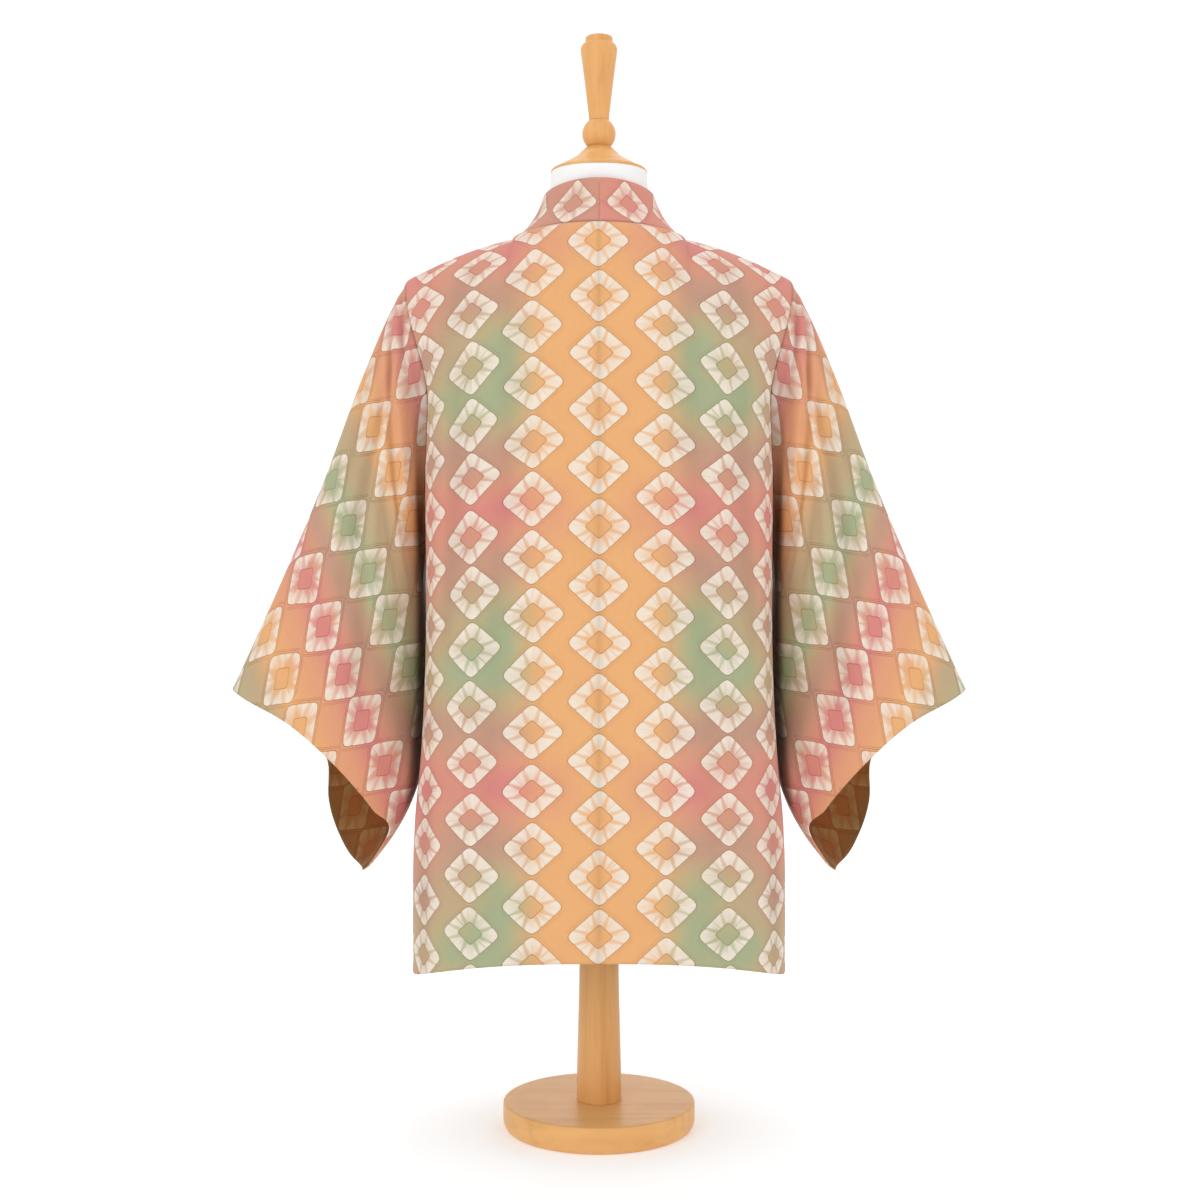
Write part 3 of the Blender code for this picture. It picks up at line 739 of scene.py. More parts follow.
def ring_cloth(name, ring, raised=False, fold=0.3, soak=0.3, spoke=1.0, reverse=False):
    """Crepe dyed in soft washes, with large undyed rings of gathered petals.

    The UV map counts columns and rows of the ring lattice; ring is the matrix from there to a
    ring's own diagonals.  In its square coordinates a and b the outline of a ring is
    (a^8 + b^8)^(1/8) = 1, its hole is the same at RING_HOLE, and its petals part along lines of
    constant b/a.  raised moves every second column by half a ring, fold is the strength of the
    fold lines between rings, soak how far the petals take up the dye and how strongly the
    painted light and shade of their radial folds shows, and spoke the spokes' width."""
    cloth = bpy.context.scene.haori_cloth
    s = Shader(name)
    uv = s.node("ShaderNodeUVMap", {"uv_map": "cloth"})
    wx, wy, _ = s.parts(s.noise(uv, 0.9, 1.0, 0.5, "Color"))
    u, v, _ = s.parts(uv)
    u = u + (wx - 0.5) * 0.08
    v = v + (wy - 0.5) * 0.08
    column = (u + 0.5).floor()
    if raised:
        v = v + abs(column).math("MODULO", 2.0) * 0.5
    row = (v + 0.5).floor()
    cx, cy, cz = s.parts(s.chance(s.joined(column, row, 3.0), "Color"))
    du = u - column + (cx - 0.5) * 0.04
    dv = v - row + (cy - 0.5) * 0.04
    size = 1.0 + (cz - 0.5) * 0.05
    alpha = (du * ring[0][0] + dv * ring[0][1]) * size
    beta = (du * ring[1][0] + dv * ring[1][1]) * size
    a = alpha + beta
    b = alpha - beta
    big_a, big_b = abs(a), abs(b)
    larger = big_a.larger(big_b).larger(0.001)
    ratio = big_a.smaller(big_b) / larger
    reach = (big_a ** RING_SQUARENESS + big_b ** RING_SQUARENESS) ** (1.0 / RING_SQUARENESS)

    # Two main spokes a side part its petals; a faint third one may split the middle petal.
    fine = s.noise(uv, 26.0, 3.0, 0.6)
    side = a.above(0.0) + b.above(0.0) * 2.0 + big_a.above(big_b) * 4.0
    sx, sy, sz = s.parts(s.chance(s.joined(column * 3.0 + side, row, cx), "Color"))
    bent = s.noise(s.joined(reach * 2.0, side * 3.0 + column, row + cz), 1.0, 1.0, 0.5)
    spoke_at = SPOKE_SHARE + (sx - 0.5) * 0.14 + (bent - 0.5) * 0.16
    main_spoke = abs(ratio - spoke_at) * larger
    slant = (a * b).above(0.0) * 2.0 - 1.0
    mid_spoke = abs(ratio * slant + (sy - 0.5) * 0.3) * larger
    inward = reach.ramp(1.0, RING_HOLE)
    widening = 0.75 + inward * 0.55
    main_gap = (main_spoke / widening).ramp(0.15 * spoke, 0.01) * (0.60 + sz * 0.30 + inward * 0.15)
    mid_gap = (mid_spoke / widening).ramp(0.09 * spoke, 0.01) * (sz - 0.25).larger(0.0) * 0.90
    gap = main_gap.larger(mid_gap).smaller(1.0)
    edge = reach + (fine - 0.5) * 0.018 + main_spoke.ramp(0.10, 0.0) * 0.022
    hole = reach + (fine - 0.5) * 0.02
    body = edge.ramp(1.005, 0.975) * hole.ramp(RING_HOLE, RING_HOLE + 0.035)
    # Radial streaks in the petals: painted light and shade of their radial folds.
    ray_place = s.joined(ratio * slant * 5.0 + side * 5.0, reach * 1.2, cz * 9.0 + column)
    rays = s.noise(ray_place, 1.5, 3.0, 0.6)

    # The ground's washes, with the light streaks of crepe.
    # The dye attribute holds the washes and, as its fourth number, the painted light: below 1 it paints
    # shade into the cloth.
    dye = s.node("ShaderNodeAttribute", {"attribute_name": "dye"}, None, "Color")
    painted_light = s.node("ShaderNodeAttribute", {"attribute_name": "dye"}, None, "Alpha")
    cloud = s.noise(uv, 1.3, 3.0, 0.6)
    streak = s.noise(s.scaled(uv, (60.0, 1.5, 1.0)), 1.0, 2.0, 0.6)
    pink, green, mauve = s.parts(dye)
    shift = 1.0 + (cloud - 0.5) * 0.8
    ground = s.mixed(tuple(cloth.orange), tuple(cloth.mauve), mauve * shift)
    ground = s.mixed(ground, tuple(cloth.pink), pink * shift)
    ground = s.mixed(ground, tuple(cloth.green), green * shift)
    mottle = 0.97 + (cloud - 0.5) * 0.10 + (streak - 0.5) * 0.08 + (fine - 0.5) * 0.04
    ground = s.mixed(ground, s.grey(mottle), 1.0, "MULTIPLY")

    # Pressed folds run along the rings' sides; rows of faint creases join their corners.
    broken = s.noise(uv, 2.2, 2.0, 0.6).ramp(0.25, 0.7)
    near_fold = abs(big_a - 1.10).ramp(0.022, 0.004).larger(abs(big_b - 1.10).ramp(0.022, 0.004))
    far_fold = abs(big_a - 1.17).ramp(0.022, 0.004).larger(abs(big_b - 1.17).ramp(0.022, 0.004))
    folds = (near_fold + far_fold * 0.75) * reach.above(1.04) * (0.35 + broken * 0.65)
    rim = abs(edge - 1.015).ramp(0.032, 0.006) + abs(hole - RING_HOLE + 0.01).ramp(0.03, 0.006)
    dark_line = s.mixed(ground, (0.50, 0.33, 0.26), 1.0, "MULTIPLY")
    ground = s.mixed(ground, dark_line, rim * 0.50)
    ground = s.mixed(ground, dark_line, folds * fold)

    tint = 0.05 + inward * soak * (0.25 + sz) + (rays - 0.45) * (0.32 + soak)
    tint = tint + (sy - 0.5) * (0.06 + soak * 0.2)
    petals = s.mixed(tuple(cloth.cream), ground, tint.larger(0.02).smaller(0.85))
    colour = s.mixed(ground, petals, body * (1.0 - gap * 0.80))
    weave = s.noise(s.scaled(uv, (150.0, 150.0, 1.0)), 1.0, 1.0, 0.5)
    colour = s.mixed(colour, s.grey(0.975 + weave * 0.05), 1.0, "MULTIPLY")
    # The inner side is darkened partly for the back face's duller dye and partly as painted shade.
    if reverse:
        colour = s.mixed(colour, tuple(cloth.reverse), 1.0, "MULTIPLY")
    # Painted shade: where the painted light is low, the colour is multiplied towards the shade tint of
    # hollows, troughs and gaps.
    hollow = s.mixed(colour, tuple(cloth.shade), 1.0, "MULTIPLY")
    colour = s.mixed(hollow, colour, painted_light)

    puff = body * (1.0 - gap) * (0.8 + rays * 0.4) - folds * fold * 0.7 - rim * 0.2
    normal = s.bump(puff, 0.0007, 0.5)
    normal = s.bump(weave, 0.0002, 0.4, normal)
    normal = s.bump(cloud + streak * 0.2, 0.0012, 0.35, normal)
    roughness = 0.72 + (1.0 - body) * 0.06
    return s.finish(colour, roughness, normal, Specular_IOR_Level=0.22, Sheen_Weight=0.08,
                    Sheen_Roughness=0.5)


def cover_cotton():
    """White knitted cotton: a fine rib in height, and the faint unevenness of a washed cover."""
    stand = bpy.context.scene.haori_stand
    s = Shader("form cover cotton")
    place = s.object_place()
    rib = s.noise(s.scaled(place, (1500.0, 1500.0, 260.0)), 1.0, 2.0, 0.6)
    cloud = s.noise(place, 9.0, 3.0, 0.6)
    colour = s.mixed(tuple(stand.cover), (0.66, 0.66, 0.67), cloud.ramp(0.45, 0.95) * 0.25 + rib * 0.10)
    normal = s.bump(rib, 0.00025, 0.5)
    normal = s.bump(cloud, 0.002, 0.25, normal)
    return s.finish(colour, 0.82 + rib * 0.08, normal, Specular_IOR_Level=0.2, Sheen_Weight=0.15)


def turned_wood(name, flat=False):
    """Light lacquered wood: soft growth bands, long grain lines and fine pores.

    The grain runs up the piece, or across it for the flat base, where growth bands arch."""
    stand = bpy.context.scene.haori_stand
    s = Shader(name)
    place = s.object_place()
    x, y, z = s.parts(place)
    if flat:
        stretched = s.joined(x * 4.0, y * 90.0, z * 60.0)
        arch = s.joined(x * 3.0, y * 10.0, z * 40.0 + x * x * 120.0)
    else:
        stretched = s.joined(x * 120.0, y * 120.0, z * 6.0)
        arch = s.joined(x * 20.0, y * 20.0, z * 2.5)
    grain = s.noise(stretched, 1.0, 5.0, 0.6)
    bend = s.noise(arch, 1.2, 2.0, 0.5)
    pores = s.noise(s.scaled(stretched, (4.0, 4.0, 3.0)), 1.0, 3.0, 0.7)
    line = grain.ramp(0.42, 0.80) * 0.40 + (bend - 0.40) * 1.1
    colour = s.mixed(tuple(stand.wood_light), tuple(stand.wood_dark), line.larger(0.0).smaller(0.9))
    colour = s.mixed(colour, (0.36, 0.16, 0.05), pores.ramp(0.64, 0.80) * 0.25)
    normal = s.bump(pores * 0.5 + grain * 0.5, 0.0003, 0.30)
    return s.finish(colour, 0.38 + grain * 0.14, normal, Specular_IOR_Level=0.35,
                    Coat_Weight=0.12, Coat_Roughness=0.25)


# ---------------------------------------------------------------- cloth pieces

OVER_ROWS = 44
DOWN_ROWS = 150
NECK_COLUMNS = 26
OUT_COLUMNS = 46
SLEEVE_AROUND = 120
SLEEVE_ALONG = 130
FRONT_SETTLE = 30.0              # drop in front over which the ring rows come level
TROUGH_SHADE = 0.9               # painted shade of a trough, for each centimetre of its depth
SEAM_REACH = 0.35                # centimetres beside a seam over which the cloth dips into it
GAP_DARK = (0.70, 1.40)          # centimetres out from the body's side, painted shade to open
GAP_TOP = 87.0                   # height below which shade is painted in the gap beside the body
GAP_LOW = 38.0                   # height below which that painted shade is a little lighter again
CREASE_END = 0.93                # share of the sleeve's length where its creases get softer
GUSSET_RINGS_OUT = 24.5          # where the gusset's middle lies in the body's ring lattice
GUSSET_WASH_OUT = 22.0           # and in the body's washes, in centimetres from the centre
COLLAR_RINGS = (5.85, 5.9)       # pitch of the collar's rings along it and across it


def seam_dip(distance):
    """How far the cloth dips at a distance from a seam: a smooth step down to it."""
    depth = bpy.context.scene.haori_cloth.seam_dip / CM
    return depth * (1 - ease(distance / SEAM_REACH))


def body_lattice(run_across, run_along, height, hand):
    """Ring lattice place on the body, counted in columns and rows."""
    out = ease((run_across - SAG_OUT[0]) / (SAG_OUT[1] - SAG_OUT[0]))
    up = np.clip((height - SAG_UP[0]) / (SAG_UP[1] - SAG_UP[0]), 0, 1)
    row = (run_along + SAG * out * up - FIRST_ROW) / ROW_PITCH
    return np.stack([run_across * hand / COLUMN_PITCH + 0 * row, row], axis=-1)


def sleeve_flat(grid, turn):
    """Place of each point of the sleeve when it is laid flat.

    Each layer keeps its own plane about its middle; round the folds the cloth's own length
    runs on along the line between the folds."""
    half = grid.shape[1] // 2
    plane = grid[..., (0, 2)]
    chord = plane[:, -1] - plane[:, half]
    chord = chord / np.linalg.norm(chord, axis=-1, keepdims=True)
    middle = (turn[1:] + turn[:-1]) / 2
    layer = np.sign(middle)[None, :, None]
    flatness = ease((np.abs(np.sin(middle)) - 0.30) / 0.35)[None, :, None]
    length = np.linalg.norm(np.diff(grid, axis=1), axis=-1, keepdims=True)
    step = np.diff(plane, axis=1) * flatness + layer * chord[:, None] * length * (1 - flatness)
    run = np.concatenate([np.zeros_like(step[:, :1]), np.cumsum(step, axis=1)], axis=1)
    centre = np.where(turn < 0, half // 2, half + half // 2)
    return plane[:, centre] + run - run[:, centre]


def make_panel(word, hand, face, reverse):
    """One body panel, from the back hem over the shoulder to the front hem."""
    cloth = bpy.context.scene.haori_cloth
    neck = np.linspace(0, NECKLINE_SHARE, NECK_COLUMNS + 1)[:-1]
    across = np.concatenate([neck, np.linspace(NECKLINE_SHARE, 1, OUT_COLUMNS + 1)])
    layers = {}
    for side in (-1, 1):
        drop = drops(across, side, OVER_ROWS, DOWN_ROWS)
        layers[side] = body_surface(np.repeat(across[None], len(drop), 0), drop, side)
    back, front = layers[-1][::-1], layers[1]
    grid = np.concatenate([back, front[1:]])
    turn = len(back) - 1
    run_across = lengths(grid, 1)
    edge_arc = lengths(front[:, NECK_COLUMNS:], 1)
    run_across[turn + 1:, NECK_COLUMNS:] = run_across[turn, NECK_COLUMNS] + edge_arc[1:]
    run_along = lengths(grid, 0) + grid[:1, :, 2]
    settled = ease((grid[turn, :, 2] - grid[turn:, :, 2]) / FRONT_SETTLE)
    middle = NECK_COLUMNS + OUT_COLUMNS // 2
    hanging = run_along[turn, middle] + grid[turn, middle, 2] - grid[turn:, :, 2]
    run_along[turn:] += (hanging - run_along[turn:]) * settled
    normal = normals_of(grid)
    normal[:, 0, 0] = 0.0
    behind = crease_moves(BACK_CREASES, run_across, grid[..., 2])
    before = crease_moves(FRONT_CREASES, run_across, grid[..., 2])
    share = np.zeros(len(grid))
    share[turn:] = ease((grid[turn, NECK_COLUMNS, 2] - grid[turn:, NECK_COLUMNS, 2]) / SHOULDER_EASE)
    move = behind + (before - behind) * share[:, None]
    grid = grid + normal * move[..., None]
    to_edge = run_across[:, -1:] - run_across
    grid = grid - normal * (0.6 * seam_dip(to_edge))[..., None]
    grid[:turn + 1, 0, 0] = 0.0
    cells = np.ones((len(grid) - 1, len(across) - 1), bool)
    cells[turn:, :NECK_COLUMNS] = False
    lattice = body_lattice(run_across, run_along, grid[..., 2], hand)
    # Painted shade under the collar's fold and in the creases' troughs, held in the dye attribute's
    # fourth number.
    shade_under_collar = 0.55 * (1 - ease((run_along[turn] - run_along) / 0.45))
    shade_under_collar = shade_under_collar * (np.arange(len(across)) < NECK_COLUMNS + 2)
    painted_light = (1 - shade_under_collar) * (1 - trough_shade(move))
    dye = with_painted_light(body_washes(run_across, grid[..., 2]), painted_light)
    piece = grid_piece("cloth_body_" + word, grid, lattice, dye, cells, hand=hand)
    thicken(piece, cloth.cloth_wall, face, reverse)
    stand_for(piece, "body_" + word)
    area = round(min(area_of(piece), 0.30 * 1.58), 4)
    return piece


def make_gusset(word, hand, face, reverse):
    """The side gusset: a wedge on the body's own section, x = a (1 - (y/d)^n)^(1/n)."""
    cloth = bpy.context.scene.haori_cloth
    height = np.linspace(HEM_SIDE, ARMPIT_HEIGHT - 0.02, DOWN_ROWS)
    opening = along(SIDE_EDGE, "half_opening", height) - 0.02
    share = np.linspace(-1, 1, 17)
    y = opening[:, None] * share
    depth = np.where(y < 0, along(BODY, "back_depth", height)[:, None],
                     along(BODY, "front_depth", height)[:, None])
    half_width = along(BODY, "half_width", height)[:, None]
    x = half_width * (1 - np.abs(y / depth) ** SECTION_POWER) ** (1 / SECTION_POWER)
    grid = np.stack([x, y, np.repeat(height[:, None], len(share), 1)], axis=-1)
    normal = normals_of(grid)
    to_edge = (opening[:, None] - np.abs(y))
    grid = grid - normal * seam_dip(to_edge)[..., None]
    lattice = body_lattice(GUSSET_RINGS_OUT + y, grid[..., 2], grid[..., 2], hand)
    # Painted shade on the gusset where the sleeve hangs close beside it, fading out towards the hem.
    shade_beside_sleeve = 0.55 * ease((height[:, None] - 26.0) / 12.0)
    dye = with_painted_light(body_washes(GUSSET_WASH_OUT + 0 * y, grid[..., 2]), 1 - shade_beside_sleeve)
    piece = grid_piece("cloth_gusset_" + word, grid, lattice, dye, hand=hand)
    thicken(piece, cloth.cloth_wall, face, reverse)
    stand_for(piece, "gusset_" + word)
    area = round(area_of(piece), 4)
    return piece


def make_sleeve(word, hand, face, reverse):
    """One sleeve: a flat hollow tube from the armhole to the open cuff."""
    cloth = bpy.context.scene.haori_cloth
    turn = np.linspace(-np.pi, np.pi, SLEEVE_AROUND + 1)
    share = np.linspace(0, 1, SLEEVE_ALONG + 1)
    grid = sleeve_surface(share, turn % (2 * np.pi))
    grid[:, :, 0] += 0.03 * (1 - ease(share / 0.05))[:, None]
    grid[:, 0] = grid[:, -1]
    half = SLEEVE_AROUND // 2
    run = lengths(grid, 1)
    run = run - run[:, half:half + 1]
    flat = sleeve_flat(grid, turn)
    run_along = lengths(grid[:, half:half + 1], 0)
    normal = normals_of(grid, ring=True)
    near_cuff = ease((share - CREASE_END) / (1 - CREASE_END))[:, None]
    move = crease_moves(SLEEVE_CREASES, run, run_along) * (1 - 0.5 * near_cuff)
    grid = grid + normal * move[..., None]
    grid = grid - normal * seam_dip(run_along)[..., None]
    steps = np.array([SLEEVE_COLUMN, SLEEVE_ROW])
    lattice = (flat - np.array(SLEEVE_RING)) @ np.linalg.inv(steps)
    height = grid[..., 2]
    # Painted shade in the narrow gap between the sleeve and the body's side, deepest below the shoulder,
    # and along the armhole seam; troughs get painted shade too.
    beside = grid[..., 0] - along(BODY, "half_width", height)
    below_shoulder = ease((GAP_TOP - height) / 24.0)
    deep = below_shoulder * (0.72 + 0.28 * ease((height - GAP_LOW) / 12.0))
    gap_shade = deep * (1 - ease((beside - GAP_DARK[0]) / (GAP_DARK[1] - GAP_DARK[0])))
    shade_at_seam = 0.30 * (1 - ease(run_along / 0.6))
    painted_light = (1 - gap_shade) * (1 - shade_at_seam) * (1 - trough_shade(move))
    dye = with_painted_light(sleeve_washes(lattice[..., 0]), painted_light)
    piece = grid_piece("cloth_sleeve_" + word, grid, lattice, dye, ring=True, hand=hand)
    thicken(piece, cloth.cloth_wall, face, reverse)
    stand_for(piece, "sleeve_" + word)
    area = round(min(area_of(piece), 0.54 * 0.50), 4)
    return piece


def make_collar(word, hand, face, reverse):
    """Half of the collar: a folded band from its seam to its fold, in straight rulings."""
    cloth = bpy.context.scene.haori_cloth
    quarter = np.linspace(0, np.pi / 2, 60)
    seam_back = np.stack(shoulder_line(quarter / (np.pi / 2) * NECKLINE_SHARE), axis=-1)
    edge = np.array([NECKLINE_SHARE])
    seam_front = body_surface(edge[None], drops(edge, 1, 60, 140), 1)[1:, 0]
    seam = np.concatenate([seam_back, seam_front])
    side = along(COLLAR_FRONT, "across", NECK_POINT[2])
    top = NECK_POINT[2] + along(COLLAR_FRONT, "rise", NECK_POINT[2])
    free_back = np.stack([side * np.sin(quarter), -COLLAR_TOP[0] * np.cos(quarter),
                          COLLAR_TOP[1] + (top - COLLAR_TOP[1]) * np.sin(quarter) ** 2], axis=-1)
    height = seam_front[:, 2]
    free_front = np.stack([along(COLLAR_FRONT, "across", height), along(COLLAR_FRONT, "depth", height),
                           height + along(COLLAR_FRONT, "rise", height)], axis=-1)
    free = np.concatenate([free_back, free_front])
    step = np.linspace(0, 1, 15)[:, None, None]
    grid = seam[None] + (free - seam)[None] * step
    grid[:, 0, 0] = 0.0
    inward = np.cross(free - seam, np.gradient(seam, axis=0))
    inward /= np.linalg.norm(inward, axis=-1, keepdims=True)
    hollow = COLLAR_HOLLOW * ease((seam[:, 2] - COLLAR_FLAT) / (NECK_POINT[2] - COLLAR_FLAT))
    grid = grid + inward * hollow[:, None] * np.sin(np.pi * step)
    normal = normals_of(grid)
    normal[:, 0, 0] = 0.0
    run = lengths(grid[7:8], 1)
    width = np.linalg.norm(free - seam, axis=-1)
    rise = width * step[..., 0]
    grid = grid - normal * (seam_dip(rise) + seam_dip(run))[..., None]
    grid[:, 0, 0] = 0.01
    u = (run * hand - 0.2) / COLLAR_RINGS[0] + 0.5 + 0 * rise
    v = (rise - width / 2) / COLLAR_RINGS[1]
    lattice = np.stack([u, v], axis=-1)
    wave = np.sin(run / 9.0)
    down = ease((run - 12.0) / 20.0)
    pink = (0.80 if hand > 0 else 0.45) * (1 - down) + down * (0.5 + 0.5 * wave) * 0.9
    mauve = (0.25 if hand > 0 else 0.75) * (1 - down)
    green = down * (0.5 - 0.5 * wave) * 0.7
    dye = np.stack([pink + 0 * rise, green + 0 * rise, mauve + 0 * rise], axis=-1)
    # Darker along the seam: partly a dark seam line, partly painted shade where the band meets the body.
    shade_at_seam = 0.62 * (1 - ease(rise / 0.22))
    dye = with_painted_light(dye, 1 - shade_at_seam)
    piece = grid_piece("cloth_collar_" + word, grid, lattice, dye, hand=hand)
    thicken(piece, cloth.collar_wall, face, reverse, rounded=0.0011)
    stand_for(piece, "collar_" + word)
    area = round(area_of(piece), 4)
    return piece


# ---------------------------------------------------------------- form and stand

def rings_piece(name, rings, material):
    """A closed body of revolution or loft from rings of points, closed by shrinking rings."""
    grid = np.concatenate([rings, rings[:, :1]], axis=1)
    piece = grid_piece(name, grid, ring=True)
    piece.data.materials.append(material)
    return piece


def capped(rings):
    """Rings with a fan of smaller ones at each end, so that the piece is closed."""
    def end(ring):
        centre = ring.mean(axis=0)
        return [centre + (ring - centre) * k for k in (0.9995, 0.97, 0.6, 0.2, 0.004)]
    return np.stack(end(rings[0])[::-1] + list(rings) + end(rings[-1]))


def make_form(material):
    """The covered torso and neck: sections x = a cos^(2/n), y = c + d sin^(2/n) by height."""
    height = FORM["height"][0] + (FORM["height"][-1] - FORM["height"][0]) * np.linspace(0, 1, 260)
    angle = np.linspace(0, 2 * np.pi, 144, endpoint=False)
    cosine, sine = np.cos(angle)[None], np.sin(angle)[None]
    half_width = along(FORM, "half_width", height)[:, None]
    half_depth = along(FORM, "half_depth", height)[:, None]
    centre = along(FORM, "centre", height)[:, None]
    seam = 0.05 * np.exp(-((angle[None] * 180 / np.pi - 90) % 180 / 1.2) ** 2)
    x = half_width * np.sign(cosine) * np.abs(cosine) ** (2 / FORM_POWER) * (1 - seam * 0.05)
    y = centre + half_depth * np.sign(sine) * np.abs(sine) ** (2 / FORM_POWER) * (1 - seam * 0.05)
    rings = np.stack([x, y, np.repeat(height[:, None], len(angle), 1)], axis=-1)
    piece = rings_piece("form_body", capped(rings), material)
    stand_for(piece, "dress_form")
    return piece


def rounded_outline(corners, radius=0.25, steps=6):
    """An outline of radius and height with each inner corner rounded by a short curve."""
    corners = [np.array(c, float) for c in corners]
    points = [corners[0]]
    for before, corner, after in zip(corners, corners[1:], corners[2:]):
        into, out = before - corner, after - corner
        reach = min(radius, 0.45 * np.linalg.norm(into), 0.45 * np.linalg.norm(out))
        start = corner + into / np.linalg.norm(into) * reach
        stop = corner + out / np.linalg.norm(out) * reach
        t = np.linspace(0, 1, steps)[:, None]
        points.extend((1 - t) ** 2 * start + 2 * t * (1 - t) * corner + t ** 2 * stop)
    points.append(corners[-1])
    return np.array(points)


def turned_piece(name, outline, material, node=None):
    """A turned piece: its outline of radius and height carried round the stand's axis."""
    angle = np.linspace(0, 2 * np.pi, 128, endpoint=False)
    radius, height = outline[:, 0], outline[:, 1]
    rings = np.stack([radius[:, None] * np.cos(angle), radius[:, None] * np.sin(angle),
                      np.repeat(height[:, None], len(angle), 1)], axis=-1)
    piece = rings_piece(name, capped(rings), material)
    stand_for(piece, node or name)
    return piece


BASE_OUTLINE = [(9.55, 0.0), (9.85, 0.12), (10.14, 0.7), (10.14, 2.80), (9.5, 2.80)]
POLE_OUTLINE = [(2.30, 2.81), (2.36, 2.81), (2.33, 6.0), (2.1, 15.4), (2.0, 29.98)]
CAP_OUTLINE = [(4.7, 100.81), (5.12, 100.81), (5.12, 101.15), (4.55, 101.42), (3.67, 101.9),
               (2.4, 102.65), (1.42, 103.65)]
HANDLE_OUTLINE = [(0.9, 106.51), (1.05, 106.51), (1.12, 107.3), (1.32, 109.0), (1.58, 111.1),
                  (1.85, 113.2), (1.97, 114.1), (1.80, 114.55), (1.45, 114.7),
                  (1.45, 115.4), (1.0, 115.4)]
BALL_RADIUS = 1.78
BALL_HEIGHT = 105.1


# ---------------------------------------------------------------- operators

class HAORI_OT_body(bpy.types.Operator):
    """Body panels and side gussets"""
    bl_idname = "haori.body"
    bl_label = "Body panels"

    def execute(self, context):
        ring = ((2.00, 0.0), (0.0, 1.96))
        face = ring_cloth("ring-dyed crepe", ring, raised=True)
        # The inner-side material is darker, partly duller dye and partly painted shade.
        reverse = ring_cloth("ring-dyed crepe reverse", ring, raised=True, reverse=True)
        for word, hand in (("left", -1), ("right", 1)):
            make_panel(word, hand, face, reverse)
            make_gusset(word, hand, face, reverse)
        return {"FINISHED"}


class HAORI_OT_sleeves(bpy.types.Operator):
    """Both sleeves"""
    bl_idname = "haori.sleeves"
    bl_label = "Sleeves"

    def execute(self, context):
        ring = ((2.12, -0.16), (0.18, 1.88))
        face = ring_cloth("sleeve crepe", ring, fold=0.75, soak=0.75, spoke=1.8)
        # The inner-side material is darker, partly duller dye and partly painted shade.
        reverse = ring_cloth("sleeve crepe reverse", ring, fold=0.75, soak=0.75, spoke=1.8, reverse=True)
        for word, hand in (("left", -1), ("right", 1)):
            make_sleeve(word, hand, face, reverse)
        return {"FINISHED"}


class HAORI_OT_collar(bpy.types.Operator):
    """The folded collar band, in two halves"""
    bl_idname = "haori.collar"
    bl_label = "Collar"

    def execute(self, context):
        face = ring_cloth("collar crepe", ((2.22, 0.0), (0.0, 1.96)), fold=0.4, soak=0.5, spoke=1.4)
        for word, hand in (("left", -1), ("right", 1)):
            make_collar(word, hand, face, face)
        return {"FINISHED"}


class HAORI_OT_form(bpy.types.Operator):
    """The covered dress form"""
    bl_idname = "haori.form"
    bl_label = "Dress form"

    def execute(self, context):
        make_form(cover_cotton())
        return {"FINISHED"}


class HAORI_OT_stand(bpy.types.Operator):
    """Turned base, pole, neck cap, ball and handle"""
    bl_idname = "haori.stand"
    bl_label = "Stand and finial"

    def execute(self, context):
        upright = turned_wood("turned light wood")
        turned_piece("base", rounded_outline(BASE_OUTLINE, 0.45),
                     turned_wood("base light wood", flat=True),
                     "stand_base")
        turned_piece("pole", rounded_outline(POLE_OUTLINE, 0.3), upright, "stand_pole")
        turned_piece("cap", rounded_outline(CAP_OUTLINE, 0.25), upright, "neck_cap")
        low, high = (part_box("finial_ball")[k][2] / CM - BALL_HEIGHT for k in (0, 1))
        tilt = np.linspace(math.asin(low / BALL_RADIUS), math.asin(high / BALL_RADIUS), 40)
        ball = np.stack([BALL_RADIUS * np.cos(tilt), BALL_HEIGHT + BALL_RADIUS * np.sin(tilt)], axis=-1)
        turned_piece("ball", ball, upright, "finial_ball")
        turned_piece("handle", rounded_outline(HANDLE_OUTLINE, 0.5), upright, "finial_handle")
        return {"FINISHED"}


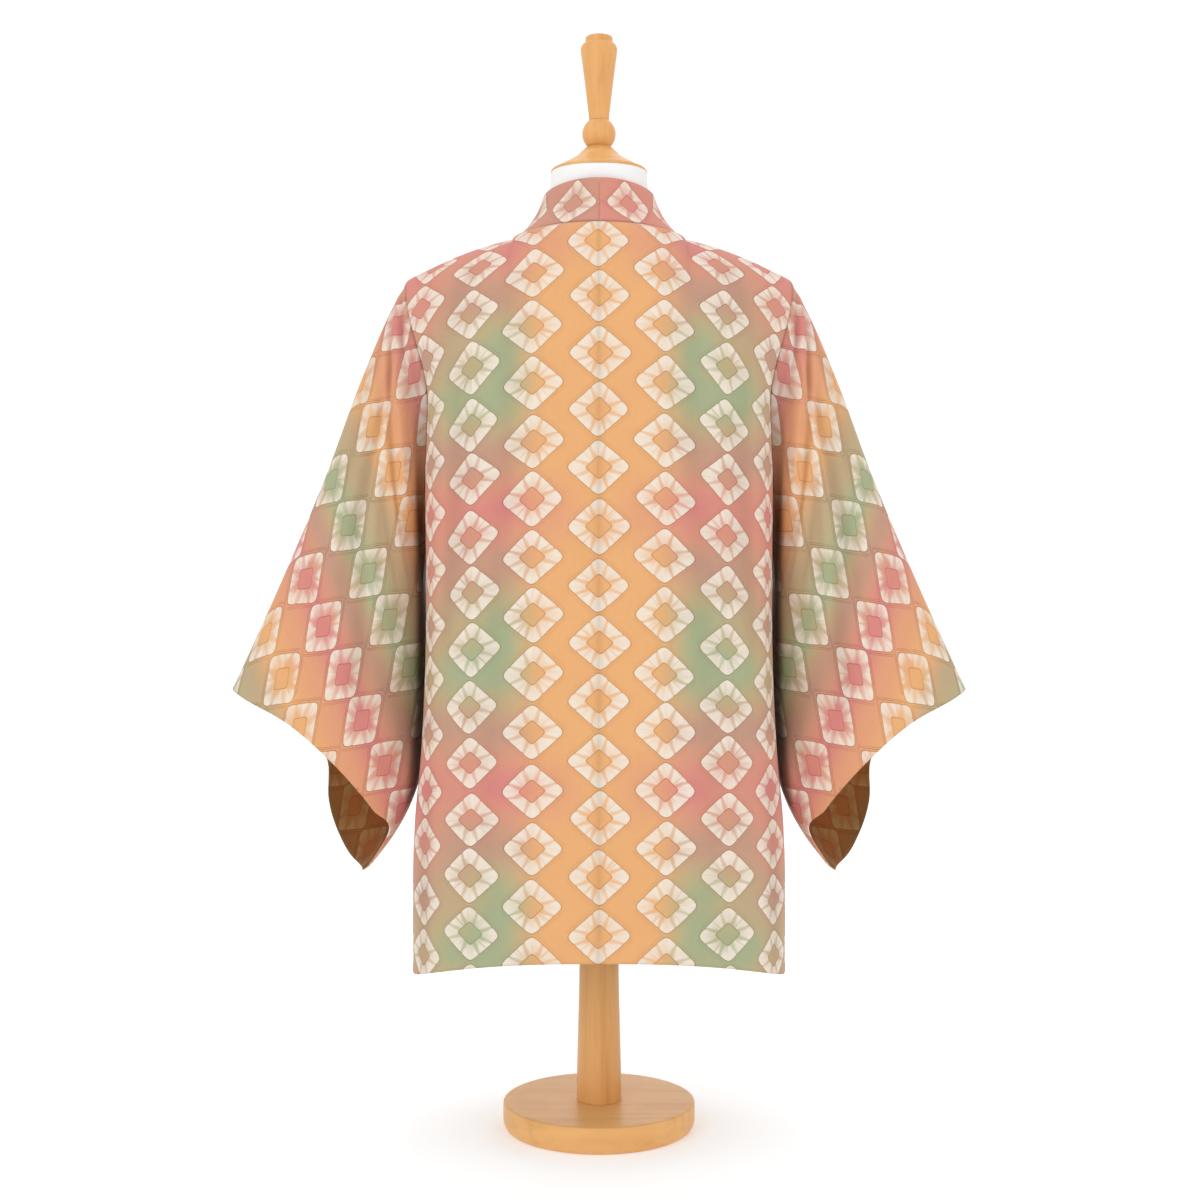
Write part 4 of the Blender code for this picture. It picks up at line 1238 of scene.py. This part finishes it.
class HAORI_OT_stage(bpy.types.Operator):
    """Floor, backdrop, lights and camera"""
    bl_idname = "haori.stage"
    bl_label = "Stage"

    def execute(self, context):
        stage = context.scene.haori_stage
        self.floor(stage)
        self.lights(context)
        self.camera(context, stage)
        return {"FINISHED"}

    def floor(self, stage):
        """One pale sheet: flat, then curved up behind by a quarter circle."""
        half = stage.floor_side / 2
        bend = 1.2
        turn = np.linspace(0, np.pi / 2, 14)
        y = np.concatenate([[-half], half - bend + bend * np.sin(turn), [half]])
        z = np.concatenate([[0.0], bend - bend * np.cos(turn), [5.0]])
        x = np.array([-half, half])
        grid = np.stack([np.repeat(x[None], len(y), 0), np.repeat(y[:, None], 2, 1),
                         np.repeat(z[:, None], 2, 1)], axis=-1)
        floor = grid_piece("floor", grid / CM)
        s = Shader("pale floor")
        cloud = s.noise(s.object_place(), 2.0, 2.0, 0.5)
        pale = s.mixed((0.90, 0.90, 0.90), (0.88, 0.88, 0.88), cloud)
        floor.data.materials.append(s.finish(pale, 0.9, Specular_IOR_Level=0.1, Emission_Strength=0.22,
                                             Emission_Color=(1.0, 1.0, 1.0, 1.0)))

    def lights(self, context):
        world = bpy.data.worlds.new("studio")
        context.scene.world = world
        world.use_nodes = True
        world.node_tree.nodes["Background"].inputs[0].default_value = (1.0, 1.0, 1.0, 1.0)
        world.node_tree.nodes["Background"].inputs[1].default_value = 0.86
        for name, place, side, power in (("key", (-1.6, -2.4, 2.2), 1.6, 15.0),
                                         ("fill", (2.0, -2.2, 1.4), 1.8, 7.0),
                                         ("top", (0.0, 0.4, 3.0), 2.2, 10.0),
                                         ("behind", (0.6, 2.6, 1.8), 1.8, 8.0)):
            lamp = bpy.data.lights.new(name, "AREA")
            lamp.size = side
            lamp.energy = power
            light = bpy.data.objects.new(name, lamp)
            light.location = place
            aim = Vector((0, 0, 0.6)) - Vector(place)
            light.rotation_euler = aim.to_track_quat("-Z", "Y").to_euler()
            context.scene.collection.objects.link(light)

    def camera(self, context, stage):
        lens = bpy.data.cameras.new("camera")
        lens.lens = stage.focal_length
        lens.sensor_width = 36.0
        lens.shift_x = 0.0008
        camera = bpy.data.objects.new("camera", lens)
        camera.location = (0.0, -stage.camera_distance, stage.camera_height)
        camera.rotation_euler = (math.pi / 2, 0.0, 0.0)
        context.scene.collection.objects.link(camera)
        context.scene.camera = camera
        context.scene.view_settings.view_transform = "Standard"
        context.scene.view_settings.look = "None"


class HAORI_PT_panel(bpy.types.Panel):
    """Sizes, colours and build steps of the haori"""
    bl_idname = "HAORI_PT_panel"
    bl_label = "Haori"
    bl_space_type = "VIEW_3D"
    bl_region_type = "UI"
    bl_category = "Haori"

    def draw(self, context):
        for name, group in GROUPS.items():
            box = self.layout.box()
            for field in group.__annotations__:
                box.prop(getattr(context.scene, name), field)
        for step in STEPS:
            self.layout.operator(step.bl_idname)


STEPS = (HAORI_OT_stage, HAORI_OT_form, HAORI_OT_stand, HAORI_OT_body, HAORI_OT_sleeves, HAORI_OT_collar)


def register():
    for kind in (*GROUPS.values(), *STEPS, HAORI_PT_panel):
        bpy.utils.register_class(kind)
    for name, group in GROUPS.items():
        setattr(bpy.types.Scene, name, PointerProperty(type=group))


def unregister():
    for name in GROUPS:
        delattr(bpy.types.Scene, name)
    for kind in reversed((*GROUPS.values(), *STEPS, HAORI_PT_panel)):
        bpy.utils.unregister_class(kind)


def main():
    register()
    for step in STEPS:
        module, name = step.bl_idname.split(".")
        getattr(getattr(bpy.ops, module), name)()


if __name__ == "__main__":
    main()
